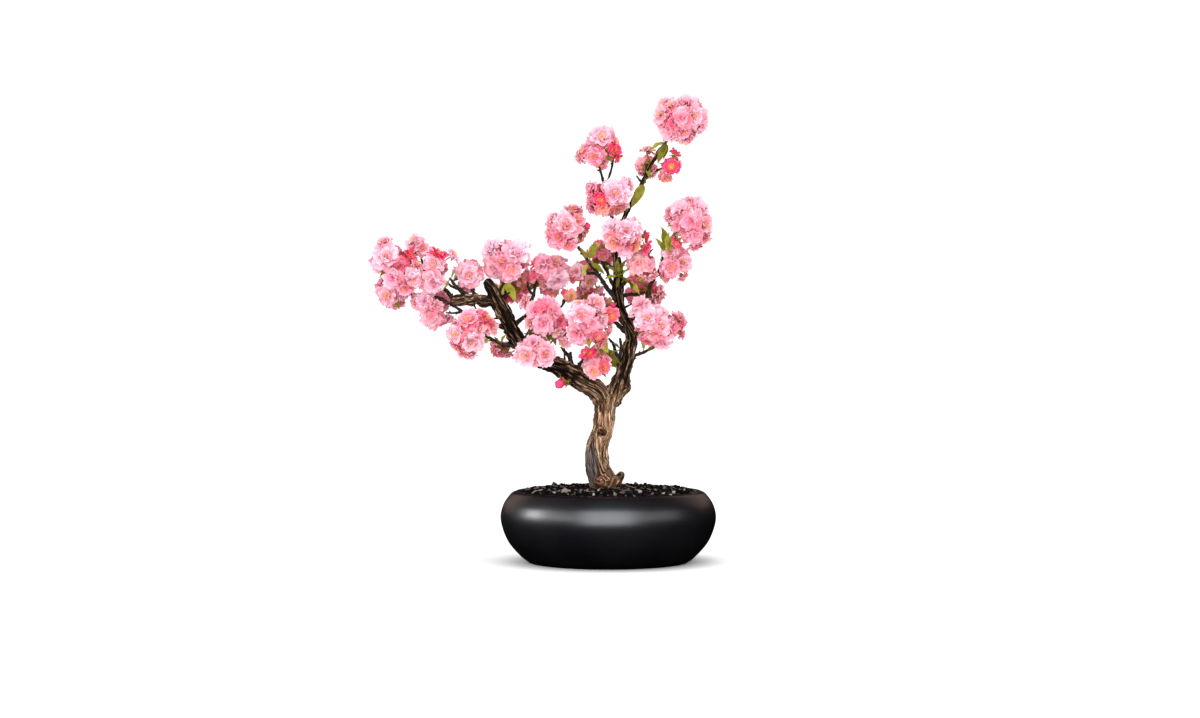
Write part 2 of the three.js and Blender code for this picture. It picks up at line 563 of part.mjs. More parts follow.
// Open flower: a ring of broad petals with gaps between them round the raised heart of small ones,
// the calyx below and the stalk, which ends inside the knot. Petals press against those of the
// neighbours, and every corner has a little play of its own, for ruffled edges.
function bloom(own, neighbours) {
  const corners = [];
  const polar = (out, angle, height) => new THREE.Vector3(
    out * Math.cos(angle), out * Math.sin(angle), height,
  );
  const fixed = (offset) => {
    corners.push(offset.applyQuaternion(own.turn).add(own.centre));
    return corners.length - 1;
  };
  const corner = (angle, [out, height]) => {
    const play = corners.length + own.seed * SEEDS_A_BLOOM;
    const far = own.radius * out * between(1 - OUT_PLAY, 1 + OUT_PLAY, play);
    const high = own.radius * (height + between(-HEIGHT_PLAY, HEIGHT_PLAY, play + 0.5));
    const offset = polar(far, angle, high);
    return fixed(offset.multiplyScalar(share(own, offset.clone().applyQuaternion(own.turn), neighbours)));
  };
  const foot = fixed(new THREE.Vector3(0, 0, 1 - own.distance));
  const calyx = [0, 1, 2].map(
    (k) => fixed(polar(CALYX_RADIUS, (k * 2 * Math.PI) / 3, -CALYX_DEPTH * own.radius)),
  );
  const sector = (2 * Math.PI) / PETALS;
  const heart = corner(0, HEART);
  const petals = Array.from({ length: PETALS }, (_, k) => ({
    gap: corner((k - 0.5) * sector, PETAL_GAP),
    left: corner((k - TIP_SPREAD) * sector, PETAL_TIP),
    right: corner((k + TIP_SPREAD) * sector, PETAL_TIP),
    inner: corner((k - 0.5) * sector, PETAL_DENT),
  }));
  const rim = petals.flatMap((petal) => [petal.gap, petal.left, petal.right]);
  const under = rim.flatMap((point, k) => {
    const side = Math.round(k / PETALS) % 3;
    const after = Math.round((k + 1) / PETALS) % 3;
    const next = rim[(k + 1) % rim.length];
    const strip = [[calyx[side], next, point]];
    return side === after ? strip : [...strip, [calyx[side], calyx[after], next]];
  });
  const neck = [0, 1, 2].map((k) => [foot, calyx[(k + 1) % 3], calyx[k]]);
  const top = petals.flatMap((petal, k) => {
    const next = petals[(k + 1) % PETALS];
    return [
      [petal.inner, petal.gap, petal.left], [petal.inner, petal.left, petal.right],
      [petal.inner, petal.right, next.inner], [next.inner, petal.right, next.gap],
      [heart, petal.inner, next.inner],
    ];
  });
  return faces(corners, [...neck, ...under, ...top]);
}

// Closed bud, pointed at both ends, on its stalk.
function bud(own) {
  const geometry = new THREE.SphereGeometry(own.radius, 6, 4);
  geometry.rotateX(Math.PI / 2);
  geometry.scale(1, 1, BUD_STRETCH);
  const stem = limb([[0, 0, 2 - own.distance, STALK_RADIUS], [0, 0, 0, STALK_RADIUS]], 3, 1);
  return [closed(geometry), stem].map((part) => {
    part.applyQuaternion(own.turn);
    return part.translate(...own.centre);
  });
}

// Knot of a bunch, with a corner towards the twig that bears it.
function knotBody(knot, twigEnd) {
  const centre = new THREE.Vector3(...knot);
  const way = twigEnd.clone().sub(centre).normalize();
  const geometry = closed(new THREE.OctahedronGeometry(KNOT_RADIUS));
  geometry.applyQuaternion(new THREE.Quaternion().setFromUnitVectors(new THREE.Vector3(0, 0, 1), way));
  return geometry.translate(...centre);
}

// Leaves

// Pointed blade with saw edges along +X, folded along its rib and arched towards its tip. Both
// faces have the same triangles, and meet along the edge.
function leafBlade(size) {
  const length = LEAF_LENGTH * size;
  const width = LEAF_WIDTH * size;
  const corners = [];
  const corner = (along, side, lift = 0) => {
    const height = lift - LEAF_ARCH * length * along ** 2 + LEAF_FOLD * Math.abs(side);
    corners.push(new THREE.Vector3(LEAF_STALK + length * along, side, height));
    return corners.length - 1;
  };
  const half = (along) => 0.5 * width * Math.sin(Math.PI * along ** LEAF_BELLY);
  const foot = corner(0, 0);
  const tip = corner(1, 0);
  const edge = (sign) => {
    const teeth = Array.from({ length: LEAF_SPANS - 1 }, (_, k) => {
      const along = (k + 1) / LEAF_SPANS;
      return corner(along, sign * LEAF_TEETH[k % 2] * half(along));
    });
    return [foot, ...teeth, tip];
  };
  const rib = (sign) => {
    const middle = [0.25, 0.5, 0.75].map((along) => corner(along, 0, (sign * LEAF_RIB) / 2));
    return [foot, ...middle, tip];
  };
  const upper = rib(1);
  const lower = rib(-1);
  const above = [
    ...strip(upper, edge(1)),
    ...strip(upper, edge(-1)).map(([a, b, c]) => [a, c, b]),
  ];
  const under = new Map(upper.map((index, k) => [index, lower[k]]));
  const below = above.map((face) => face.map((index) => under.get(index) ?? index).reverse());
  return faces(corners, [...above, ...below]);
}

// Triangles between a rib and an edge that start and end at the same corners.
function strip(rib, edge) {
  const triangles = [];
  let [r, e] = [0, 1];
  while (r < rib.length - 2 || e < edge.length - 2) {
    const ribNext = (r + 1) / (rib.length - 1);
    const edgeNext = (e + 1) / (edge.length - 1);
    if (r < rib.length - 2 && (ribNext < edgeNext || e >= edge.length - 2)) {
      triangles.push([rib[r], rib[r + 1], edge[e]]);
      r += 1;
    } else {
      triangles.push([rib[r], edge[e + 1], edge[e]]);
      e += 1;
    }
  }
  triangles.push([rib[r], rib.at(-1), edge[e]]);
  return triangles;
}

function leafParts(tuft, number) {
  const knob = closed(new THREE.OctahedronGeometry(LEAF_KNOB));
  const blades = tuft.leaves.flatMap(([azimuth, elevation, size], k) => {
    const along = direction(azimuth, elevation);
    const side = new THREE.Vector3(0, 0, 1).cross(along).normalize();
    side.applyAxisAngle(along, between(-LEAF_ROLL, LEAF_ROLL, number * SEEDS_A_TUFT + k));
    const up = along.clone().cross(side);
    const pose = new THREE.Matrix4().makeBasis(along, side, up);
    const stem = limb([[0.5, 0, 0, LEAF_STALK_RADIUS], [LEAF_STALK + 3, 0, 0, LEAF_STALK_RADIUS]], 4, 1);
    return [leafBlade(size).applyMatrix4(pose), stem.applyMatrix4(pose)];
  });
  return [knob, ...blades].map((part) => part.translate(...tuft.at));
}

// Assembly

const plant = new THREE.Group();

function add(name, body, finish, centre = [0, 0, 0]) {
  const geometry = surface(body);
  geometry.translate(-centre[0], -centre[1], -centre[2]);
  const mesh = new THREE.Mesh(geometry, FINISH[finish]);
  mesh.name = name;
  mesh.position.set(...centre);
  plant.add(mesh);
}

function joined(parts, grow = 0) {
  const wider = grow ? parts.map((part) => pushedOut(part, grow)) : parts;
  return Manifold.union(wider.map(solid));
}

function clearOf(body, others) {
  const box = body.boundingBox();
  const near = others.filter((other) => {
    const reach = other.boundingBox();
    return [0, 1, 2].every((k) => box.min[k] < reach.max[k] && reach.min[k] < box.max[k]);
  });
  return near.length ? body.subtract(Manifold.union(near)) : body;
}

const wood = tree();
const woodRoom = tree(ROOM);
add('pot', pot(), 'glaze');
add('soil', soil(woodRoom), 'gravel');
add('tree', wood, 'bark');

const bunches = Object.entries(BUNCHES).map(
  ([name, bunch], number) => ({ name, number, knot: bunch.knot, ...flowersOf(bunch, number) }),
);
const everyFlower = bunches.flatMap(({ open, shut }) => [...open, ...shut]);

function bunchParts({ knot, open, shut }) {
  const blooms = open.map((own) => {
    const reach = (other) => NEIGHBOUR_REACH * (own.radius + other.radius);
    const near = everyFlower.filter(
      (other) => other !== own && other.centre.distanceTo(own.centre) < reach(other),
    );
    return bloom(own, near);
  });
  return [knotBody(knot, twigEndAt(knot)), ...blooms, ...shut.flatMap(bud)];
}

// Each bunch or tuft makes room for those placed before it.
const taken = [woodRoom];

function place(name, parts, finish, centre) {
  add(name, largest(clearOf(joined(parts), taken)), finish, centre);
  taken.push(joined(parts).add(joined(parts, ROOM)));
}

// Bunches nearest the viewer stay whole, so they come first.
for (const bunch of [...bunches].sort((a, b) => a.knot[1] - b.knot[1])) {
  const finish = bunch.open.length > 1 ? BUNCH_FINISHES[bunch.number % BUNCH_FINISHES.length] : 'deep';
  place(`blossom_${bunch.name}`, bunchParts(bunch), finish, bunch.knot);
}

Object.entries(TUFTS).forEach(([name, tuft], number) => {
  place(name, leafParts(tuft, number), 'leaf', tuft.at);
});

export default plant;
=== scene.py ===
# Looks of a flowering Japanese cherry bonsai in a round bowl of dark glazed ceramic.
# Tables and shapes are in millimetres, and meshes are made in metres. +Z is up, +X the viewer's right.

import math

import bpy
import numpy as np
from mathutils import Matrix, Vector


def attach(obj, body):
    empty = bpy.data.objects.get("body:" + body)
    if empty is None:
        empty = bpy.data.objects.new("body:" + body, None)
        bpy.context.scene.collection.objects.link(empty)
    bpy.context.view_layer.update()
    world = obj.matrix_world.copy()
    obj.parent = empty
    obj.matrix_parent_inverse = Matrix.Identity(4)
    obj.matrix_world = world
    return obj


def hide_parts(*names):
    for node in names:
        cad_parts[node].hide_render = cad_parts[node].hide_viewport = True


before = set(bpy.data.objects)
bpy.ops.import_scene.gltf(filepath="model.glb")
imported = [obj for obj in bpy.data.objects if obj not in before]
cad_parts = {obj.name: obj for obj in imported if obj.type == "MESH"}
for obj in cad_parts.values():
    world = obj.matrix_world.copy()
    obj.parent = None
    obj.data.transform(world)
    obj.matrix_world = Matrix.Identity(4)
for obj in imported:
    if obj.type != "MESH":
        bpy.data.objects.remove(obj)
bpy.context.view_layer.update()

MM = 0.001
TURN = 2 * math.pi
GOLDEN_TURN = math.pi * (3 - math.sqrt(5))

# Bowl: outside from foot to rim as [radius, height], the wall behind it, the recess under the foot,
# where the outside leaves the foot, and the round of the rim.
POT_OUTLINE = [(101, 0), (112, 8), (128.6, 27.6), (137.5, 53.2), (134.7, 72.4), (125, 87), (118, 90.7)]
POT_WALL = 5.5
POT_FLOOR = 9
POT_CORNER = 6
POT_FOOT = [[0, 1.6], [94, 1.6], [96, 1.2], [97.5, 0.3], [98.4, 0], [100.2, 0]]
POT_FOOT_EDGE = [101.2, 0.35]
POT_LIP = [0.325, 1.17]
POT_SIDES = 160

# Soil: its level at the rim, how far it rises to the trunk, the radius of its edge, its gap to the
# bowl, how deep the bed lies under the chips, and how wide the lumps of the bed are.
SOIL_LEVEL = 88.5
SOIL_MOUND = 4
SOIL_EDGE = 112.5
SOIL_GAP = 0.35
SOIL_BED = 1.6
SOIL_LUMP = 3.1
SOIL_SIDES = 110

# Chips on the soil, how far from the middle they reach, and from where on they rise half as far.
CHIPS = 2300
CHIPS_REACH = 110
CHIPS_CALM = 104
# How much the corners of a chip stray, its radius, and how high it lies.
CHIP_ROUGHNESS = 0.28
CHIP_SIZE = (1.9, 3.9)
CHIP_LIFT = (-0.8, 3.2)
# One chip in so many is long, one pale and one white. The second number says which one.
LONG_CHIPS = (9, 4)
PALE_CHIPS = (10, 6)
WHITE_CHIPS = (71, 20)
# The shape of the long ones, and the kinds of stone of each sort.
LONG_CHIP = (2.1, 0.5, 0.42)
DARK_KINDS = (0.0, 0.80)
LONG_KINDS = (0.5, 0.95)
PALE_KINDS = (0.80, 0.97)
WHITE_CHIP_SIZE = 2.0
# Where chips lie deeper, to keep the root knot clear: from left to right, and from front to back.
ROOT_CLEARING = (-28, 12, -34, 0)
CLEARING_DEPTH = 2.0
# Stones that stand out, as [x, y, radius, kind], and splinters of wood as [x, y, length, turn].
STONES = [
    (-103, -12, 4.5, 0.88), (-74, -52, 4.2, 0.87), (-55, -76, 5.4, 0.95), (-62, -70, 3.4, 0.93),
    (-18, -103, 2.6, 1.0), (-20, -75, 3.2, 0.89), (39, -76, 4.2, 0.97), (37, 62, 4.2, 0.88),
    (-70, 66, 4.6, 0.84), (-57, 62, 2.4, 1.0), (-41, 70, 3.8, 0.88), (17, -94, 3.8, 0.87),
    (81, -66, 3.2, 0.98), (72, 5, 3.2, 0.93), (-84, 20, 3.6, 0.86), (54, -88, 3.0, 0.89),
    (8, -100, 2.6, 0.94), (96, -20, 2.8, 0.95), (-34, -58, 3.0, 0.90), (60, 40, 3.4, 0.87),
]
SPLINTERS = [
    (-40, -52, 10, 1.1), (-91, 10, 9, 0.5), (22, -40, 9, 0.5), (52, -40, 8, -0.4), (12, 40, 8, 2.0),
    (-66, -30, 9, 2.4),
]

# Wood, as routes of [x, y, z, radius].
WOOD = {
    "trunk": [
        [-7, -2, 74, 7], [-7, -3, 84, 9.5], [-8, -3, 91, 12], [-9, -2, 99, 14], [-11, -2, 111, 14.5],
        [-15, -3, 130, 14], [-14, -3, 149, 13.5], [-8, -1, 168, 12.5], [-5, 0, 188, 12.5],
        [-3, 1, 203, 14], [1, 2, 216, 11],
    ],
    "left_branch": [
        [-5, 0, 202, 12], [-13, -2, 217, 13], [-26, -5, 227, 12.5], [-39, -8, 235, 12],
        [-54, -11, 245, 11], [-69, -14, 252, 10], [-86, -17, 258, 9.5], [-102, -19, 268, 9.5],
        [-114, -19, 281, 10], [-124, -18, 299, 9.5], [-133, -17, 318, 8.5], [-142, -17, 336, 8],
        [-149, -19, 350, 7.5], [-154, -21, 359, 6],
    ],
    "right_branch": [
        [3, 1, 202, 11], [9, 3, 217, 11], [15, 5, 230, 10], [20, 6, 244, 9], [25, 7, 259, 8.5],
        [28, 7, 275, 8], [30, 7, 288, 7.5], [27, 6, 300, 7], [20, 5, 313, 6.5], [15, 4, 327, 6],
        [13, 4, 343, 6.5], [13, 5, 359, 6.5], [12, 6, 376, 6], [11, 8, 393, 5], [11, 9, 408, 4.2],
        [16, 9, 428, 3.4], [24, 8, 448, 2.9], [33, 6, 466, 2.5], [41, 4, 481, 2.2], [50, 2, 500, 2],
        [60, 0, 517, 1.9], [69, 0, 531, 1.8], [82, 0, 547, 1.7], [89, 0, 558, 1.5],
    ],
    "side_branch": [
        [-142, -16, 329, 8], [-150, -16, 333, 7], [-158, -16, 333, 8], [-167, -17, 336, 6],
        [-177, -17, 334, 7.2], [-186, -18, 336, 5.4], [-194, -18, 335, 5.4], [-200, -19, 337, 2.6],
    ],
    "low_splinter": [
        [-180, -19, 332, 4], [-192, -21, 330, 3.4], [-201, -22, 331, 2.2], [-207, -22, 328, 1.2],
    ],
    "root_loop": [
        [-10, -6, 92, 10], [0, -11, 94, 9], [7, -13, 99, 7.5], [13, -13, 107, 6], [18, -12, 114, 4],
    ],
    "root_heel": [[-12, 3, 98, 10], [-1, 4, 93, 10], [8, 9, 84, 7]],
    "root_web": [[-6, -4, 114, 10.5], [0, -7, 105, 10], [6, -9, 96, 9]],
    "root_stick": [[12, -15, 98, 3.6], [20, -18, 96.5, 3.4], [29, -21, 94.5, 3], [36, -23, 93, 2.2]],
    "cut_stub": [[15, 4, 217, 7.5], [20, 2, 221, 6], [24, 1, 224, 4], [26.5, 1, 228, 1.6]],
}
# Twigs, in the same form.
TWIGS = {
    "below_left": [[-114, -19, 275, 3], [-137, -26, 278, 2], [-153, -34, 288, 2], [-168, -41, 291, 1.5]],
    "far_left_foot": [
        [-131, -17, 299, 3], [-158, -21, 309, 2.5], [-184, -24, 319, 2], [-213, -14, 336, 2],
        [-236, 0, 340, 1.5], [-257, 3, 343, 1.5], [-273, 0, 345, 1.5],
    ],
    "hanging_left": [[-213, -14, 336, 2], [-218, -4, 331, 1.5], [-223, 5, 326, 1.5]],
    "foot_spur": [[-185, -24, 319, 1.6], [-197, -25, 318, 1.2], [-206, -25, 318, 1]],
    "far_left_crown": [
        [-197, -19, 335, 3], [-205, -13, 345, 2.5], [-218, -3, 355, 2], [-236, 4, 364, 2],
        [-257, 4, 376, 1.5], [-273, -5, 381, 1.5],
    ],
    "left_spur": [[-218, -3, 355, 2], [-222, -9, 364, 1.5], [-224, -13, 369, 1.5]],
    "far_left_middle": [[-236, 4, 364, 1.8], [-248, -9, 366, 1.5], [-256, -19, 368, 1.5]],
    "loose_left": [[-236, 4, 364, 1.7], [-238, 6, 381, 1.5], [-241, 5, 394, 1.3]],
    "side_fork": [[-176, -17, 338, 3], [-191, -20, 349, 2.3], [-201, -22, 362, 1.4]],
    "side_fork_tip": [[-190, -20, 348, 2], [-200, -16, 352, 1.5], [-207, -12, 359, 1.1]],
    "over_spur": [[-168, -16, 338, 2.8], [-175, -7, 351, 2], [-180, 2, 363, 1.5]],
    "under_bend": [[-124, -14, 281, 2.5], [-130, 2, 277, 2], [-136, 14, 275, 1.5]],
    "front_bend": [[-83, -18, 258, 2.5], [-86, -32, 263, 2], [-90, -42, 268, 1.5]],
    "left_crown": [[-143, -17, 333, 3.5], [-139, -12, 345, 3], [-133, -4, 359, 2], [-134, 6, 380, 1.5]],
    "mid_crown": [
        [-123, -17, 297, 3], [-112, -13, 309, 2.5], [-103, -6, 317, 2.5], [-98, 2, 335, 2.5],
        [-95, 8, 349, 2], [-92, 13, 362, 2], [-79, 19, 367, 1.5],
    ],
    "crown_fork": [[-98, 4, 342, 2], [-102, 2, 350, 1.5], [-103, 0, 358, 1.1]],
    "mid_left": [[-74, -15, 257, 3], [-77, -18, 276, 2.5], [-75, -20, 290, 2], [-79, -23, 309, 1.5]],
    "mid_back": [[-77, -21, 296, 1.6], [-65, -8, 319, 1.4], [-54, 5, 336, 1.3]],
    "mid_right": [
        [-44, -9, 245, 3], [-50, -13, 262, 2.5], [-58, -17, 275, 2], [-54, -22, 290, 2],
        [-34, -30, 304, 1.5],
    ],
    "free_knob": [[-48, -12, 257, 2.2], [-48, -14, 262, 2], [-48, -15, 268, 1.6]],
    "crotch": [[-35, -8, 239, 3], [-37, -14, 250, 2.5], [-31, -22, 257, 2], [-21, -29, 255, 1.5]],
    "inner_right": [[15, 6, 244, 3], [11, 1, 262, 2.5], [7, -3, 277, 2], [1, -14, 285, 1.4]],
    "inner_spur": [[12, 3, 255, 2.5], [16, 0, 271, 2], [15, -1, 286, 1.5]],
    "right_bud": [[24, 7, 293, 3.5], [14, 0, 302, 3], [7, -9, 309, 2], [5, -17, 321, 1.5]],
    "right_low": [[30, 7, 289, 4], [41, 0, 295, 3], [51, -8, 300, 2.5], [60, -13, 304, 1.5]],
    "low_right": [
        [28, 6, 260, 2.5], [36, 3, 264, 2], [46, 1, 268, 1.8], [54, -2, 274, 1.5], [60, -4, 281, 1.2],
    ],
    "upper_left": [
        [11, 4, 334, 4], [2, 2, 346, 3], [-8, 0, 360, 2.5], [-21, -2, 378, 2], [-32, -3, 394, 2],
        [-43, -4, 408, 1.7], [-53, -4, 424, 1.5],
    ],
    "crown_back": [[10, 5, 347, 3], [2, 13, 363, 2], [-4, 25, 379, 2], [-9, 35, 392, 1.5]],
    "back_spur": [[-13, -1, 367, 2.2], [-22, 12, 370, 1.6], [-29, 25, 368, 1.4]],
    "crown_middle": [[11, 8, 399, 3.5], [15, -6, 406, 2.5], [19, -22, 413, 1.5]],
    "crown_low": [[14, 5, 352, 3.5], [25, 4, 361, 2.5], [36, 3, 370, 2], [43, 2, 377, 1.5]],
    "right_side": [
        [28, 7, 307, 4], [41, 10, 326, 3], [49, 10, 340, 2.5], [55, 10, 356, 2.5], [64, 11, 369, 2],
        [83, 14, 381, 1.5],
    ],
    "right_ball": [
        [63, 11, 367, 2.2], [68, 9, 381, 2], [74, 6, 394, 2], [83, 3, 411, 1.7], [103, 0, 434, 1.5],
    ],
    "upper_middle": [
        [13, 9, 412, 3], [7, 4, 432, 2.5], [2, -2, 450, 2], [-2, -7, 467, 1.7], [-8, -2, 491, 1.5],
        [-11, 1, 505, 1.5], [-11, 4, 528, 1.3],
    ],
    "top_second": [[-2, -7, 472, 1.6], [1, -1, 491, 1.4], [5, 4, 508, 1.3], [7, 6, 521, 1.2]],
    "tip_back": [[48, 2, 497, 2], [50, 7, 509, 1.5]],
    "tip_side": [[46, 3, 491, 1.8], [60, 8, 501, 1.5], [75, 14, 506, 1.2]],
    "low_bud": [[-45, -9, 235, 2.3], [-47, -17, 229, 1.5], [-55, -23, 230, 1.3]],
    "back_heart": [[14, 5, 321, 3.5], [0, 24, 326, 2.5], [-18, 43, 334, 1.5]],
    "back_left": [[-139, -17, 332, 3.5], [-131, 12, 343, 2.5], [-126, 40, 356, 1.5]],
    "back_right": [[14, 4, 339, 3], [31, 26, 343, 2], [46, 43, 346, 1.5]],
}
# Bare spurs on the limbs, as the limb, the share of its length, azimuth, elevation and length.
SPURS = [
    ("left_branch", 0.30, -20, 75, 9), ("left_branch", 0.38, 10, 70, 7),
    ("left_branch", 0.60, 110, 55, 8), ("left_branch", 0.72, 95, 30, 8),
    ("left_branch", 0.78, -100, -10, 6), ("left_branch", 0.86, 80, 40, 7),
    ("left_branch", 0.52, 170, 40, 9), ("right_branch", 0.26, -80, 35, 8),
    ("right_branch", 0.34, 90, 20, 7), ("right_branch", 0.47, -95, 30, 8),
    ("right_branch", 0.58, 100, 35, 6), ("right_branch", 0.66, -160, 30, 7),
    ("right_branch", 0.42, 160, 25, 8), ("side_branch", 0.55, 20, -50, 6),
    ("side_branch", 0.75, -30, 60, 6), ("right_branch", 0.78, -70, 40, 5),
    ("right_branch", 0.86, 120, 30, 5),
]
# Twigs: their sides, how far they stray, and the outline of their buds.
TWIG_SIDES = 8
TWIG_WANDER = 0.9
SCALE_BUD = [[0, 0], [0.62, 0.12], [1, 0.36], [0.8, 0.62], [0.35, 0.88], [0, 1]]

# How light the bark is at the start of each limb and far along it, and how soon it gets there.
LIGHTNESS = {
    "trunk": (0.95, 0.95), "left_branch": (0.75, -0.08), "right_branch": (0.7, -0.12),
    "side_branch": (0.1, 0.4), "low_splinter": (0.5, 0.5), "root_loop": (0.95, 0.9),
    "root_heel": (0.8, 0.7), "root_web": (0.95, 0.9), "root_stick": (0.5, 0.35),
    "cut_stub": (0.3, 0.05),
}
LIGHT_FADE = 42

# Wood: the step along the limbs, the size of the skin's cells, the sides of a limb, how far its ridges
# wind about it, how high they are, how full the limb is, how far limbs blend where they meet, and how
# much the grain twists.
FLOW_STEP = 1.5
VOXEL = 0.94
LIMB_SIDES = 40
LIMB_WIND = 7
LIMB_RIDGE = 0.06
LIMB_FULLNESS = 1.03
LIMB_BLEND = 1.6
GRAIN_TWIST = 0.007
# Bark: height of its crests and depth of its furrows, and how far it lies under the skin. Wood thinner
# than RUGGED has the first height of lumps and of knobs, and thicker wood the second. On wood thinner
# than FULL_RELIEF everything is lower.
CREST = 1.1
FURROW = 1.7
LOWERED = 0.3
RUGGED = 12
FULL_RELIEF = 11
LUMPS = (1.7, 0.6)
KNOBS = (7.0, 1.5)
SMALL_LUMPS = 0.6
# Lines in the bark: how far apart they are, how long, and how wide.
FURROW_LINES = (3.4, 46, 0.17)
CREST_LINES = (2.7, 40, 0.30)
# The weathered grey side of the trunk: where it begins, and its foot and top.
BARE_SIDE = -12.5
BARE_FOOT = 96
BARE_TOP = 160
# Swirls in the bark, as [x, z] of the middle as seen from the front, and half the width and height.
# Those less than HOLED_WIDTH wide have a hole, a shallow dent painted dark as its shade.
SWIRLS = [(-8, 166, 6, 7), (-8, 103, 10, 7.5)]
SWIRL_HOLE = 0.28
HOLED_WIDTH = 8

